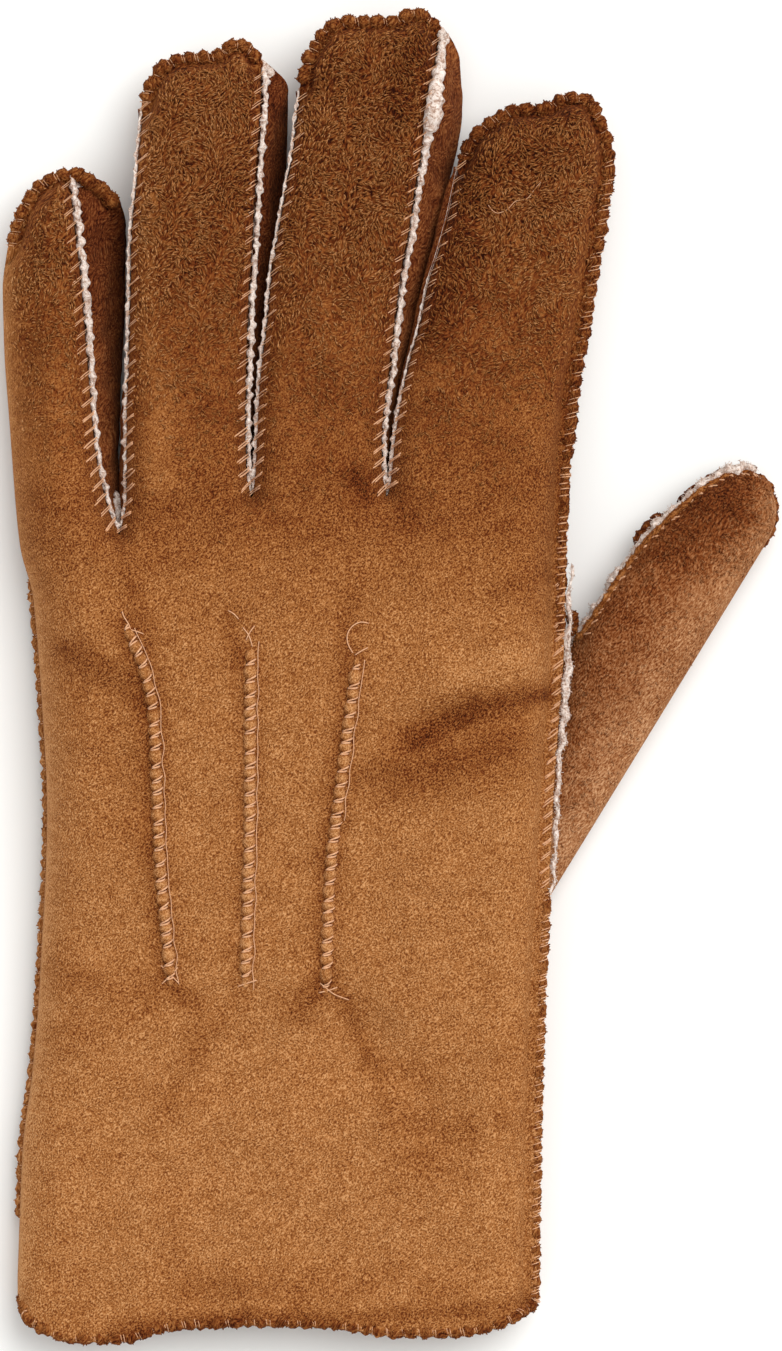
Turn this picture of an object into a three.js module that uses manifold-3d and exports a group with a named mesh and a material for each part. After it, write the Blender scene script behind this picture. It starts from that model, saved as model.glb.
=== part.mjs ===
// Faux leather glove for a left hand: suede outside, fleece inside, sewn with its raw edges outside.
// It lies on its palm, in millimetres: +X is the thumb side, +Y the fingertips, +Z up from the table.
import * as THREE from 'three';
import Module from 'manifold-3d';

const { clamp, degToRad, lerp, smoothstep } = THREE.MathUtils;

// Driving sizes
const wall = 2.2; // suede with its fleece
const thumbWall = 2;
const seamWall = 1.4; // the same, pressed in a seam allowance
const stripWall = 1.7; // strips between the fingers
const gap = 0.3; // between two pieces that are sewn together
const tuckHeight = 1.8; // raised tucks on the back of the hand
const tuckWidth = 1.3; // half of a tuck's width at its foot
const tuckEnd = 5; // length over which a tuck rises at each end
const tipBlend = 14; // length before a fingertip over which the side seams come to the tip's height
const lapBlend = 5; // length over which they turn from butted edges into a seam allowance

// Edges of the panels: height of the seam, radius that rolls up to it, width of the seam allowance
const backEdges = {
  fold: { seam: 8, roll: 11, flange: 0 },
  slit: { seam: 15.5, roll: 7, flange: 0 },
  tip: { seam: 10.5, roll: 9, flange: 2.2 },
  outseam: { seam: 12, roll: 10, flange: 2.6 },
};
const palmEdges = {
  fold: { seam: 8, roll: 9, flange: 0 },
  slit: { seam: 4, roll: 4, flange: 0 },
  tip: { seam: 10.5, roll: 8, flange: 2.2 },
  outseam: { seam: 12, roll: 9, flange: 2.6 },
};
const allowance = backEdges.outseam.flange;

const table = (names, rows) =>
  rows.map((row) => Object.fromEntries(names.split(' ').map((name, i) => [name, row[i]])));

// Outline of the hand, up the glove from the hem. The little finger's side is a fold, the thumb side a seam
const foldLine = table('y x', [
  [-114.4, -72.4], [-90, -71.4], [-76, -69.6], [-57, -68.1], [-26, -66.8], [-7, -67.7],
  [14, -69.4], [28, -71.3], [47, -72.8], [63, -73.9], [73, -74.1], [81.3, -73.0],
]);
const outseamLine = table('y x', [
  [-119, 28.1], [-100, 28.3], [-62, 29.3], [-35, 30.7], [-20, 31.5], [6, 33.3], [22, 33.6],
  [33, 34.0], [54, 35.8], [66, 37.9], [77, 39.6], [88, 41.4], [97.5, 42.5], [101, 42.4],
]);
const hemLine = table('x y', [
  [-72.4, -114.4], [-71.1, -120.6], [-66.9, -124.8], [-60.2, -127.1], [-50.4, -126.9], [-43, -124.8],
  [-27, -123.9], [-12, -124.3], [1.5, -125.8], [13, -125.8], [22.4, -123.3], [27, -120.4], [28.1, -119],
]);
// Lines of the three tucks, drawn on from the hem to the crotches between the fingers
const tuckLines = [
  table('y x', [[-127, -40], [-60, -42], [-36, -44], [-8, -45.2], [1, -47], [10, -50.4], [26.8, -51.7]]),
  table('y x', [[-127, -28.5], [-60, -27.8], [-25, -27], [6, -26.8], [33.8, -26.6]]),
  table('y x', [[-127, -15], [-60, -12.6], [-40, -11.9], [-17, -9.2], [3.4, -6.5], [34, -0.9]]),
];
const tuckSpans = table('low high', [[-60, 10], [-60, 6], [-61, 3.5]]);
const crotches = table('x y', [[-71.2, 24], [-51.7, 26.8], [-26.6, 33.8], [-0.9, 34], [34, 32.5]]);

// Sides of the fingers from crotch to fingertip seam: x of the back panel's edge and of the palm panel's
const littleRight = table('y back palm', [
  [26.8, -51.7, -51.7], [34.8, -54, -52.9], [42.4, -55.5, -52.8], [52, -56.4, -52], [61.4, -57.2, -51.4],
  [73, -58.1, -50.9], [86, -59.6, -50.8], [90, -60.1, -52], [93.5, -60.7, -55.5], [96.3, -61.2, -61.2],
]);
const ringLeft = table('y back palm', [
  [26.8, -51.7, -51.7], [33.8, -50.9, -50], [48, -50.9, -48.4], [59.5, -50.4, -47.6], [71, -50.1, -47.1],
  [82, -49.9, -46.9], [94, -48.8, -46.2], [101, -48.3, -46.4], [109, -47.5, -47.5],
]);
const ringRight = table('y back palm', [
  [33.8, -26.6, -26.6], [48, -27, -25.6], [59.5, -26.8, -24.2], [71, -26.4, -22.8], [82, -25.7, -21.2],
  [94, -25.1, -20.3], [101, -24.6, -20], [110.4, -24, -19.8], [113.4, -24.1, -21.1], [116.9, -24.7, -24.7],
]);
const middleLeft = table('y back palm', [
  [33.8, -26.6, -26.6], [44, -26.2, -24.6], [56, -25.5, -23], [65, -24.3, -21.6], [76, -23.2, -20.4],
  [84, -21.9, -19.2], [92, -20.5, -18], [99, -19.2, -17], [107, -18.4, -16.9], [112.3, -17.3, -17.3],
]);
const middleRight = table('y back palm', [
  [34, -0.9, -0.9], [44, -1.1, -0.4], [56, 0.1, 1.6], [65, 1.1, 3.8], [76, 2.5, 6.4], [84, 4, 8.6],
  [92, 5.2, 10.4], [99, 6.4, 12.2], [107, 7.4, 13.4], [116.5, 9.1, 12.9], [119.4, 9.4, 12], [123.4, 9.4, 9.4],
]);
const indexLeft = table('y back palm', [
  [34, -0.9, -0.9], [42.4, -0.2, 1.4], [51, 1, 2.9], [59, 2.9, 4.9], [66, 4.9, 6.9], [74, 6.5, 8.6],
  [80, 8.4, 10.6], [87, 10.3, 12.2], [93, 11.6, 12.9], [97.9, 12.7, 12.7],
]);

// Fingertip seams from their left shoulder to their right one
const littleTip = table('x y', [[-73, 81.3], [-70.9, 88.9], [-66.9, 94.2], [-61.2, 96.3]]);
const ringTip = table('x y', [
  [-47.5, 109], [-46.4, 112.7], [-44.1, 116.1], [-40.3, 117.8], [-33.6, 118.4], [-29.8, 120.8], [-27, 119.7],
  [-24.7, 116.9],
]);
const middleTip = table('x y', [
  [-17.3, 112.3], [-16.7, 116.9], [-14.8, 120.3], [-12.4, 123.7], [-8.9, 125], [0.6, 125], [3.8, 126.7],
  [6.8, 125.6], [9.4, 123.4],
]);
const indexTip = table('x y', [
  [12.7, 97.9], [14.1, 101.3], [16.7, 104.3], [20, 106.6], [24.3, 108.3], [28.5, 108.3], [33.8, 110.6],
  [38, 110], [40.7, 105.6], [42.4, 101],
]);

// Crown of the back above the table, and the height of the thumb side's seam, up the glove
const crown = table('y height', [
  [-127, 15], [-95, 16], [-60, 18.5], [-25, 22], [5, 24], [28, 23], [50, 21.5], [80, 20], [110, 18.5],
  [127, 17],
]);
const outseamHeight = table('y height', [[-127, 8.5], [-60, 11.4], [-42, 12], [20, 12], [127, 11]]);

// Folds and dents pressed into the back, each a line with its depth and half width
const folds = table('x1 y1 x2 y2 depth width', [
  [32, -5, 4, -10, 2.2, 4.5],
  [-64, 3, -55, -5, 1.4, 5],
  [-46, 26, 24, 28, 0.8, 6],
  [-34, -76, 8, -70, 1.1, 7],
  [8, -84, -8, -64, 1.2, 5],
]);

// Columns of the surface across one finger and the stretch of hand below it, in mm from its edges
const columns = (left, middle, right) => [
  ...left.map((inset) => ({ left: inset })),
  ...middle.map((share) => ({ share })),
  ...right.map((inset) => ({ right: inset })),
];
const foldInsets = [0, 0.5, 2, 5];
const slitInsets = [0, tuckWidth, 3.6];
const outseamInsets = [6.5, 3.6, allowance, 0];
const fromSlit = [...slitInsets].reverse();
const thirds = [0.33, 0.67];
const strips = [
  { left: foldLine, right: littleRight, tip: littleTip, columns: columns(foldInsets, [0.5], fromSlit) },
  { left: ringLeft, right: ringRight, tip: ringTip, columns: columns(slitInsets, thirds, fromSlit) },
  { left: middleLeft, right: middleRight, tip: middleTip, columns: columns(slitInsets, thirds, fromSlit) },
  { left: indexLeft, right: outseamLine, tip: indexTip, columns: columns(slitInsets, thirds, outseamInsets) },
];
const handLines = [foldLine, ...tuckLines, outseamLine];
const handRows = Array.from({ length: 16 }, (_, i) => i / 15); // shares of the way from hem to crotch
const fingerRows = [0.14, 0.28, 0.42, 0.56, 0.7, 0.85, 1]; // shares of the way from crotch to tip zone
const tipInsets = [4.6, 2.9, 2.2, 0]; // distances from the fingertip
const tipZone = 7.5;

// Thumb, in its own frame: along its outer fold from the hand, and across from that fold to its seam
const thumbRoot = { x: 30.6, y: -41.8 };
const thumbLean = degToRad(31.45);
const thumbRungs = table('innerAlong innerAcross outerAlong outerAcross height', [
  [35.5, 25.9, -3.7, 3.7, 9.4],
  [41.6, 22.2, 0, 0, 9.8],
  [44, 22.1, 14, 0, 11],
  [46.5, 22, 28, 0, 12.6],
  [50.5, 21.9, 42, 0, 13.8],
  [57, 21.7, 54, 0, 14.3],
  [65, 21.1, 64, 0, 14.2],
  [73, 19.4, 72, 0, 13.6],
  [80.5, 17.6, 79.5, 0, 12.4],
  [84.8, 15.7, 84.4, 1.5, 10.8],
  [87.4, 12.8, 87.4, 4.4, 8.6],
]);
const thumbTip = { along: 88.5, across: 8.6 };
const thumbSides = 24; // points round one section

// Value of a column at a place in a table, straight between its rows
function read(rows, key, at, column) {
  const next = rows.findIndex((row) => row[key] > at);
  if (next === 0) return rows[0][column];
  if (next < 0) return rows.at(-1)[column];
  const [low, high] = [rows[next - 1], rows[next]];
  return lerp(low[column], high[column], (at - low[key]) / (high[key] - low[key]));
}

const lineX = (line, y, side) => read(line, 'y', y, 'x' in line[0] ? 'x' : side);

function columnX(column, left, right) {
  if ('left' in column) return left + column.left;
  if ('right' in column) return right - column.right;
  const inner = slitInsets.at(-1);
  return lerp(left + inner, right - inner, column.share);
}

// Nearest place on a segment: distance and share along it
function nearestOn(a, b, point) {
  const along = { x: b.x - a.x, y: b.y - a.y };
  const square = along.x ** 2 + along.y ** 2;
  const share = clamp(((point.x - a.x) * along.x + (point.y - a.y) * along.y) / square, 0, 1);
  return { share, distance: Math.hypot(a.x + along.x * share - point.x, a.y + along.y * share - point.y) };
}

// Plan of one panel: the points of its four fingers and the hand below them, and the quads between them
function layOut(side) {
  const points = [];
  const quads = [];
  const add = (point) => points.push(point) - 1;
  const join = (rows) => {
    for (let r = 1; r < rows.length; r++) {
      for (let c = 1; c < rows[r].length; c++) {
        quads.push([rows[r - 1][c - 1], rows[r - 1][c], rows[r][c], rows[r][c - 1]]);
      }
    }
  };

  const handColumns = strips.flatMap((strip, i) =>
    strip.columns.slice(i > 0 ? 1 : 0).map((column) => ({ column, strip: i })));
  const crotchY = ({ column, strip: i }) =>
    read(crotches, 'x', columnX(column, crotches[i].x, crotches[i + 1].x), 'y');
  const hand = handRows.map((share, r) =>
    handColumns.map(({ column, strip: i }, c) => {
      const ends = [handLines[i], handLines[i + 1]];
      const atHem = columnX(column, ...ends.map((line) => lineX(line, -127, side)));
      const y = lerp(read(hemLine, 'x', atHem, 'y'), crotchY({ column, strip: i }), share);
      const x = columnX(column, ...ends.map((line) => lineX(line, y, side)));
      let edge = null;
      if (c === 0) edge = 'fold';
      else if (c === handColumns.length - 1) edge = 'outseam';
      else if (r === handRows.length - 1 && column.right === 0) edge = 'slit';
      return add({ x, y, edge, hem: r === 0, toTip: Infinity });
    }));
  join(hand);

  let first = 0;
  const fingers = strips.map((strip, i) => {
    const last = first + strip.columns.length - 1;
    const root = hand.at(-1).slice(first, last + 1);
    first = last;
    const ends = [strip.tip[0].x, strip.tip.at(-1).x];
    const rows = [...fingerRows.map((share) => ({ share })), ...tipInsets.map((inset) => ({ inset }))];
    const finger = rows.map(({ share, inset }) =>
      strip.columns.map((column, c) => {
        const tipY = read(strip.tip, 'x', columnX(column, ...ends), 'y');
        const y = inset === undefined ? lerp(points[root[c]].y, tipY - tipZone, share) : tipY - inset;
        const x = columnX(column, lineX(strip.left, y, side), lineX(strip.right, y, side));
        let edge = null;
        if (inset === 0) edge = 'tip';
        else if (c === 0) edge = i === 0 ? 'fold' : 'slit';
        else if (c === strip.columns.length - 1) edge = i === strips.length - 1 ? 'outseam' : 'slit';
        return add({ x, y, edge, hem: false, toTip: tipY - y });
      }));
    join([root, ...finger]);
    return [root, ...finger];
  });
  return { points, quads, fingers };
}

// Seam of a point on the border: its own edge's, turning into the fingertip's near the tip
function edgeOf(point, edges) {
  const own = { ...edges[point.edge] };
  if (point.edge === 'outseam') own.seam = read(outseamHeight, 'y', point.y, 'height');
  const near = (length) => 1 - smoothstep(point.toTip, 0, length);
  return {
    seam: lerp(own.seam, edges.tip.seam, near(tipBlend)),
    roll: lerp(own.roll, edges.tip.roll, near(tipBlend)),
    flange: lerp(own.flange, edges.tip.flange, near(lapBlend)),
  };
}

// Edges that only one face uses, in the order of that face
function borderOf(faces) {
  const seen = new Map();
  for (const face of faces) {
    face.forEach((a, i) => {
      const b = face[(i + 1) % face.length];
      if (!seen.delete(`${b} ${a}`)) seen.set(`${a} ${b}`, [a, b]);
    });
  }
  return [...seen.values()];
}

// Adds to each point its distance from the nearest sewn edge and that edge's seam
function measure({ points, quads }, edges) {
  const border = borderOf(quads).filter(([a, b]) => !(points[a].hem && points[b].hem));
  const seams = new Map(border.flat().map((i) => [i, edgeOf(points[i], edges)]));
  for (const point of points) {
    let best = { distance: Infinity };
    for (const [a, b] of border) {
      const found = nearestOn(points[a], points[b], point);
      if (found.distance < best.distance) best = { ...found, a, b };
    }
    const [from, to] = [seams.get(best.a), seams.get(best.b)];
    point.inset = best.distance;
    for (const key of Object.keys(from)) point[key] = lerp(from[key], to[key], best.share);
    point.rise = Math.sqrt(1 - (1 - clamp((point.inset - point.flange) / point.roll, 0, 1)) ** 2);
    point.lap = clamp(point.flange / edges.tip.flange, 0, 1); // 0 where edges butt, 1 in a seam allowance
  }
}

// Direction into the panel, in plan, at each point of its border
function inwardAt({ points, quads }) {
  const inward = new Map();
  for (const [a, b] of borderOf(quads)) {
    if (points[a].hem && points[b].hem) continue;
    const normal = new THREE.Vector2(points[a].y - points[b].y, points[b].x - points[a].x).normalize();
    for (const i of [a, b]) inward.set(i, (inward.get(i) ?? new THREE.Vector2()).add(normal));
  }
  for (const direction of inward.values()) direction.normalize();
  return inward;
}

function normalsOf(vertices, quads) {
  const normals = vertices.map(() => new THREE.Vector3());
  for (const [a, b, c, d] of quads) {
    const across = new THREE.Vector3().subVectors(vertices[c], vertices[a]);
    const normal = new THREE.Vector3().subVectors(vertices[d], vertices[b]).cross(across).negate();
    for (const i of [a, b, c, d]) normals[i].add(normal);
  }
  return normals.map((normal) => normal.normalize());
}

// Closed body between an outer skin and an inner one, walled along their common border
function shell(outer, inner, faces) {
  const count = outer.length;
  const triangles = [];
  const addFace = ([a, b, c, d]) => {
    triangles.push(a, b, c);
    if (d !== undefined) triangles.push(a, c, d);
  };
  for (const face of faces) {
    addFace(face);
    addFace(face.map((i) => i + count).reverse());
  }
  for (const [a, b] of borderOf(faces)) addFace([b, a, a + count, b + count]);
  const geometry = new THREE.BufferGeometry().setFromPoints([...outer, ...inner]);
  geometry.setIndex(triangles);
  geometry.computeVertexNormals();
  return geometry;
}

// Inner skin of a panel: the wall's thickness in from the outer one, ending in its seams' planes
function lining(plan, skin, faces, seamZ, keep) {
  const normals = normalsOf(skin, faces);
  const inward = inwardAt(plan);
  return plan.points.map((point, i) => {
    const plane = seamZ(point);
    if (inward.has(i)) {
      const step = inward.get(i).clone().multiplyScalar(wall * (1 - point.lap));
      return new THREE.Vector3(point.x + step.x, point.y + step.y, plane);
    }
    const pressed = point.lap * (1 - smoothstep(point.inset, point.flange, point.flange + 3));
    const vertex = skin[i].clone().addScaledVector(normals[i], -lerp(wall, seamWall, pressed));
    vertex.z = keep(vertex.z, plane);
    return vertex;
  });
}

const mesh = (name, geometry, color) => {
  const material = new THREE.MeshStandardMaterial({ color, roughness: 0.95, metalness: 0 });
  const piece = new THREE.Mesh(geometry, material);
  piece.name = name;
  return piece;
};

function pressedBy(point) {
  return folds.reduce((sum, fold) => {
    const ends = [{ x: fold.x1, y: fold.y1 }, { x: fold.x2, y: fold.y2 }];
    return sum + fold.depth * Math.exp(-((nearestOn(...ends, point).distance / fold.width) ** 2));
  }, 0);
}

// Height of the tucks, which are creased into the back only between their two ends
function tuckAt(point) {
  return tuckLines.reduce((height, line, i) => {
    const { low, high } = tuckSpans[i];
    const ends = smoothstep(point.y, low, low + tuckEnd) * (1 - smoothstep(point.y, high - tuckEnd, high));
    const away = Math.abs(point.x - lineX(line, point.y)) / tuckWidth;
    return Math.max(height, tuckHeight * ends * clamp(1 - away, 0, 1));
  }, 0);
}

function backPanel(plan) {
  const seamZ = (point) => point.seam + gap / 2;
  const skin = plan.points.map((point) => {
    const base = seamZ(point) + point.lap * seamWall;
    const top = read(crown, 'y', point.y, 'height') - pressedBy(point);
    return new THREE.Vector3(point.x, point.y, lerp(base, top, point.rise));
  });
  const inner = lining(plan, skin, plan.quads, seamZ, Math.max);
  const outer = skin.map((vertex, i) => vertex.clone().setZ(vertex.z + tuckAt(plan.points[i])));
  return shell(outer, inner, plan.quads);
}

function palmPanel(plan) {
  const seamZ = (point) => point.seam - gap / 2;
  const faces = plan.quads.map((quad) => [...quad].reverse());
  const skin = plan.points.map((point) =>
    new THREE.Vector3(point.x, point.y, (seamZ(point) - point.lap * seamWall) * (1 - point.rise)));
  return shell(skin, lining(plan, skin, faces, seamZ, Math.min), faces);
}

// Strip between two fingers: down one finger's side, round the crotch and up the next finger's side
function fourchette(index, back, palm) {
  const reach = fingerRows.length + 3; // rows from the crotch, stopping short of the fingertip's seam
  const pathOf = ({ points, fingers }) => {
    const down = fingers[index].slice(0, reach).map((row) => points[row.at(-1)]).reverse();
    const up = fingers[index + 1].slice(1, reach).map((row) => points[row[0]]);
    return [...down, ...up];
  };
  const edgeOfStrip = (path, lift) => path.map((point, i) => {
    const [from, to] = [path[Math.max(i - 1, 0)], path[Math.min(i + 1, path.length - 1)]];
    const thickness = Math.min(stripWall, 0.8 * wall * (1 - point.lap));
    const side = new THREE.Vector2(to.y - from.y, from.x - to.x).normalize().multiplyScalar(thickness);
    const z = point.seam + lift;
    const inner = new THREE.Vector3(point.x + side.x, point.y + side.y, z);
    return { outer: new THREE.Vector3(point.x, point.y, z), inner };
  });
  const top = edgeOfStrip(pathOf(back), -gap);
  const bottom = edgeOfStrip(pathOf(palm), gap);
  const faces = top.slice(1).map((_, i) => [i, i + 1, top.length + i + 1, top.length + i]);
  const skinOf = (key) => [...bottom.map((edge) => edge[key]), ...top.map((edge) => edge[key])];
  return shell(skinOf('inner'), skinOf('outer'), faces);
}

const thumbPoint = (along, across, z) => new THREE.Vector3(
  thumbRoot.x + along * Math.sin(thumbLean) - across * Math.cos(thumbLean),
  thumbRoot.y + along * Math.cos(thumbLean) + across * Math.sin(thumbLean),
  z,
);

// Skin of the thumb, grown outwards by a margin (or shrunk by a negative one)
function thumbSkin(margin, mouthShift = 0) {
  const points = thumbRungs.flatMap((rung, r) => {
    const middle = {
      along: (rung.innerAlong + rung.outerAlong) / 2 - (r === 0 ? mouthShift : 0),
      across: (rung.innerAcross + rung.outerAcross) / 2 + (r === 0 ? mouthShift : 0),
    };
    const half = {
      along: (rung.innerAlong - rung.outerAlong) / 2,
      across: (rung.innerAcross - rung.outerAcross) / 2,
    };
    const width = Math.hypot(half.along, half.across);
    const reach = (width + margin) / width;
    return Array.from({ length: thumbSides }, (_, i) => {
      const angle = (i / thumbSides) * 2 * Math.PI;
      const squared = (value, power) => Math.sign(value) * Math.abs(value) ** power;
      const rounding = Math.sin(angle) > 0 ? 0.85 : 0.5; // flatter below, where it rests
      const u = squared(Math.cos(angle), 0.85) * reach;
      const z = rung.height / 2 + (rung.height / 2 + margin) * squared(Math.sin(angle), rounding);
      return thumbPoint(middle.along + half.along * u, middle.across + half.across * u, z);
    });
  });
  const end = thumbPoint(thumbTip.along + margin, thumbTip.across, thumbRungs.at(-1).height / 2);
  const tip = points.push(end) - 1;
  const faces = [];
  for (let r = 0; r < thumbRungs.length; r++) {
    for (let i = 0; i < thumbSides; i++) {
      const [a, b] = [r * thumbSides + i, r * thumbSides + ((i + 1) % thumbSides)];
      if (r + 1 < thumbRungs.length) faces.push([a, b, b + thumbSides, a + thumbSides]);
      else faces.push([a, b, tip]);
    }
  }
  return { points, faces };
}

function thumb() {
  const outer = thumbSkin(0);
  return shell(outer.points, thumbSkin(-thumbWall).points, outer.faces);
}

// Solid space that the thumb takes with its seam's gap, to open the palm panel for it
function thumbSpace() {
  const { points, faces } = thumbSkin(gap, gap);
  const mouth = Array.from({ length: thumbSides }, (_, i) => i);
  const middle = mouth.reduce((sum, i) => sum.add(points[i]), new THREE.Vector3()).divideScalar(thumbSides);
  const centre = points.push(middle) - 1;
  const triangles = [...faces, ...mouth.map((i) => [(i + 1) % thumbSides, i, centre])].flatMap(
    ([a, b, c, d]) => (d === undefined ? [a, b, c] : [a, b, c, a, c, d]));
  const geometry = new THREE.BufferGeometry().setFromPoints(points);
  geometry.setIndex(triangles);
  return geometry;
}

const wasm = await Module();
wasm.setup();

const solidOf = (geometry) => new wasm.Manifold(new wasm.Mesh({
  numProp: 3,
  vertProperties: new Float32Array(geometry.getAttribute('position').array),
  triVerts: new Uint32Array(geometry.getIndex().array),
}));

function geometryOf(solid) {
  const { vertProperties, triVerts } = solid.getMesh();
  const geometry = new THREE.BufferGeometry();
  geometry.setAttribute('position', new THREE.BufferAttribute(vertProperties, 3));
  geometry.setIndex(new THREE.BufferAttribute(triVerts, 1));
  geometry.computeVertexNormals();
  return geometry;
}

const backPlan = layOut('back');
const palmPlan = layOut('palm');
measure(backPlan, backEdges);
measure(palmPlan, palmEdges);

const suede = 0xac6f41;
const shadedSuede = 0x94603a;
const innerSuede = 0x592a16;
const glove = new THREE.Group();
glove.add(mesh('back_panel', backPanel(backPlan), suede));
const openPalm = solidOf(palmPanel(palmPlan)).subtract(solidOf(thumbSpace()));
glove.add(mesh('palm_panel', geometryOf(openPalm), suede));
glove.add(mesh('thumb', thumb(), shadedSuede));
['little_ring', 'ring_middle', 'middle_index'].forEach((fingers, i) => {
  glove.add(mesh(`fourchette_${fingers}`, fourchette(i, backPlan, palmPlan), innerSuede));
});

export default glove;
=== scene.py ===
# Faux leather glove for a left hand: suede outside, cream fleece inside, sewn with its raw edges outside.
# It lies on its palm. Sizes are in mm: +X is the thumb side, +Y the fingertips, +Z up from the table.
import math

import bpy
import numpy as np
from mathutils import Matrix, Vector
from mathutils.bvhtree import BVHTree
from mathutils.kdtree import KDTree


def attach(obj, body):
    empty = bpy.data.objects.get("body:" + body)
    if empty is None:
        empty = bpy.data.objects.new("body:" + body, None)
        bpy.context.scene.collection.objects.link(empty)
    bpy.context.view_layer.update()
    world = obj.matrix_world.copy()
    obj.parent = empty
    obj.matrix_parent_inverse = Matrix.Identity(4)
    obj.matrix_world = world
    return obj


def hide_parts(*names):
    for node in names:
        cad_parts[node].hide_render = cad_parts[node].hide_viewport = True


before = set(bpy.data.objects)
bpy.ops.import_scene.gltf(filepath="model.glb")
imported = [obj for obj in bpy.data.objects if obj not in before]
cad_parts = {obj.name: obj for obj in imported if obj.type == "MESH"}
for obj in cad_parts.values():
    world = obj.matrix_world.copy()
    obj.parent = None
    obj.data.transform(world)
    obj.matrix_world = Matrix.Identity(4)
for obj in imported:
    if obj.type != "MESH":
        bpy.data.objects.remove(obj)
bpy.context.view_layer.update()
mm = 0.001
up = np.array((0.0, 0.0, 1.0))

# Camera straight above, as far away as a copy stand's, framed on the glove
view = {"distance": 2.2, "high": 256.7, "centre": (-0.19, -0.475), "level": 13, "sensor": 36}
camera = bpy.data.objects.new("camera", bpy.data.cameras.new("camera"))
bpy.context.scene.collection.objects.link(camera)
camera.data.sensor_fit = "VERTICAL"
camera.data.sensor_width = camera.data.sensor_height = view["sensor"]
camera.data.lens = view["sensor"] * view["distance"] / (view["high"] * mm)
camera.data.clip_start, camera.data.clip_end = 0.1, 50
camera.location = (view["centre"][0] * mm, view["centre"][1] * mm, view["level"] * mm + view["distance"])
bpy.context.scene.camera = camera
bpy.context.scene.view_settings.view_transform = "Standard"


def toLinear(hexColour):
    parts = [int(hexColour[i:i + 2], 16) / 255 for i in (1, 3, 5)]
    return (*(c / 12.92 if c <= 0.04045 else ((c + 0.055) / 1.055) ** 2.4 for c in parts), 1)


def addNode(tree, kind, links=None, stops=None, **settings):
    # links holds numbers, colours or other nodes' outputs, by socket; stops the colours of a ramp
    node = tree.nodes.new("ShaderNode" + kind)
    for name, value in settings.items():
        setattr(node, name, value)
    for place, (at, colour) in enumerate(stops or []):
        ramp = node.color_ramp.elements
        stop = ramp[place] if place < 2 else ramp.new(at)
        stop.position, stop.color = at, toLinear(colour)
    for socket, value in (links or {}).items():
        if isinstance(value, bpy.types.NodeSocket):
            tree.links.new(value, node.inputs[socket])
        else:
            node.inputs[socket].default_value = value
    return node


def newMaterial(name):
    material = bpy.data.materials.new(name)
    material.use_nodes = True
    material.node_tree.nodes.clear()
    return material, material.node_tree


def finishMaterial(material, shader):
    addNode(material.node_tree, "OutputMaterial", {"Surface": shader.outputs[0]})
    return material


def placeInMm(tree):
    place = addNode(tree, "TexCoord").outputs["Object"]
    return addNode(tree, "VectorMath", {0: place, 1: (1000, 1000, 1000)}, operation="MULTIPLY").outputs[0]


def finishCloth(material, tone, height, cloth):
    # each cloth and thread: colours along a ramp, a bump of the same pattern, and its own shine
    tree = material.node_tree
    colour = addNode(tree, "ValToRGB", {0: tone}, stops=cloth["stops"])
    bump = addNode(tree, "Bump", {"Height": height, **cloth["bump"]})
    look = {"Base Color": colour.outputs[0], "Normal": bump.outputs[0], **cloth["look"]}
    return finishMaterial(material, addNode(tree, "BsdfPrincipled", look))


# Stage: a pale table and soft light from above, a little from the thumb side
studio = {"floor": "#f4f4f2", "world": 0.85, "sun": 2.2, "sunSoftness": 50, "sunFrom": (0.45, 0.5, 1)}


def buildStudio():
    floorMesh = bpy.data.meshes.new("floor")
    corners = [(-60, -60, 0), (60, -60, 0), (60, 60, 0), (-60, 60, 0)]
    floorMesh.from_pydata(corners, [], [(0, 1, 2, 3)])
    floor = bpy.data.objects.new("floor", floorMesh)
    floor.location.z = -0.0002
    bpy.context.scene.collection.objects.link(floor)
    material, tree = newMaterial("painted_table")
    paint = addNode(tree, "BsdfDiffuse", {"Color": toLinear(studio["floor"]), "Roughness": 1})
    floorMesh.materials.append(finishMaterial(material, paint))
    world = bpy.data.worlds.new("studio")
    bpy.context.scene.world = world
    world.use_nodes = True
    world.node_tree.nodes["Background"].inputs["Color"].default_value = (1, 1, 1, 1)
    world.node_tree.nodes["Background"].inputs["Strength"].default_value = studio["world"]
    sun = bpy.data.objects.new("sun", bpy.data.lights.new("sun", "SUN"))
    sun.data.energy = studio["sun"]
    sun.data.angle = math.radians(studio["sunSoftness"])
    sun.rotation_mode = "QUATERNION"
    sun.rotation_quaternion = Vector(studio["sunFrom"]).to_track_quat("Z", "Y")
    bpy.context.scene.collection.objects.link(sun)


buildStudio()
print("stage: camera, table and light")

# Shell: walls and seams, the same as the frame's solids
shell = {"wall": 2.2, "thumbWall": 2.0, "seamWall": 1.4, "stripWall": 1.7, "gap": 0.3}
shell.update(tipBlend=14, lapBlend=5, edgeInset=0.6)
shell["liningLumps"] = [(0.16, 2.2), (0.12, 4.5)]  # how high and how wide the lumps of its fleece are

# Seams: height of the seam, radius that rolls up to it and width of the allowance
backEdges = {"fold": (8, 11, 0), "slit": (15.5, 7, 0), "tip": (10.5, 9, 2.2), "outseam": (12, 10, 2.6)}
palmEdges = {"fold": (8, 9, 0), "slit": (4, 4, 0), "tip": (10.5, 8, 2.2), "outseam": (12, 9, 2.6)}

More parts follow.
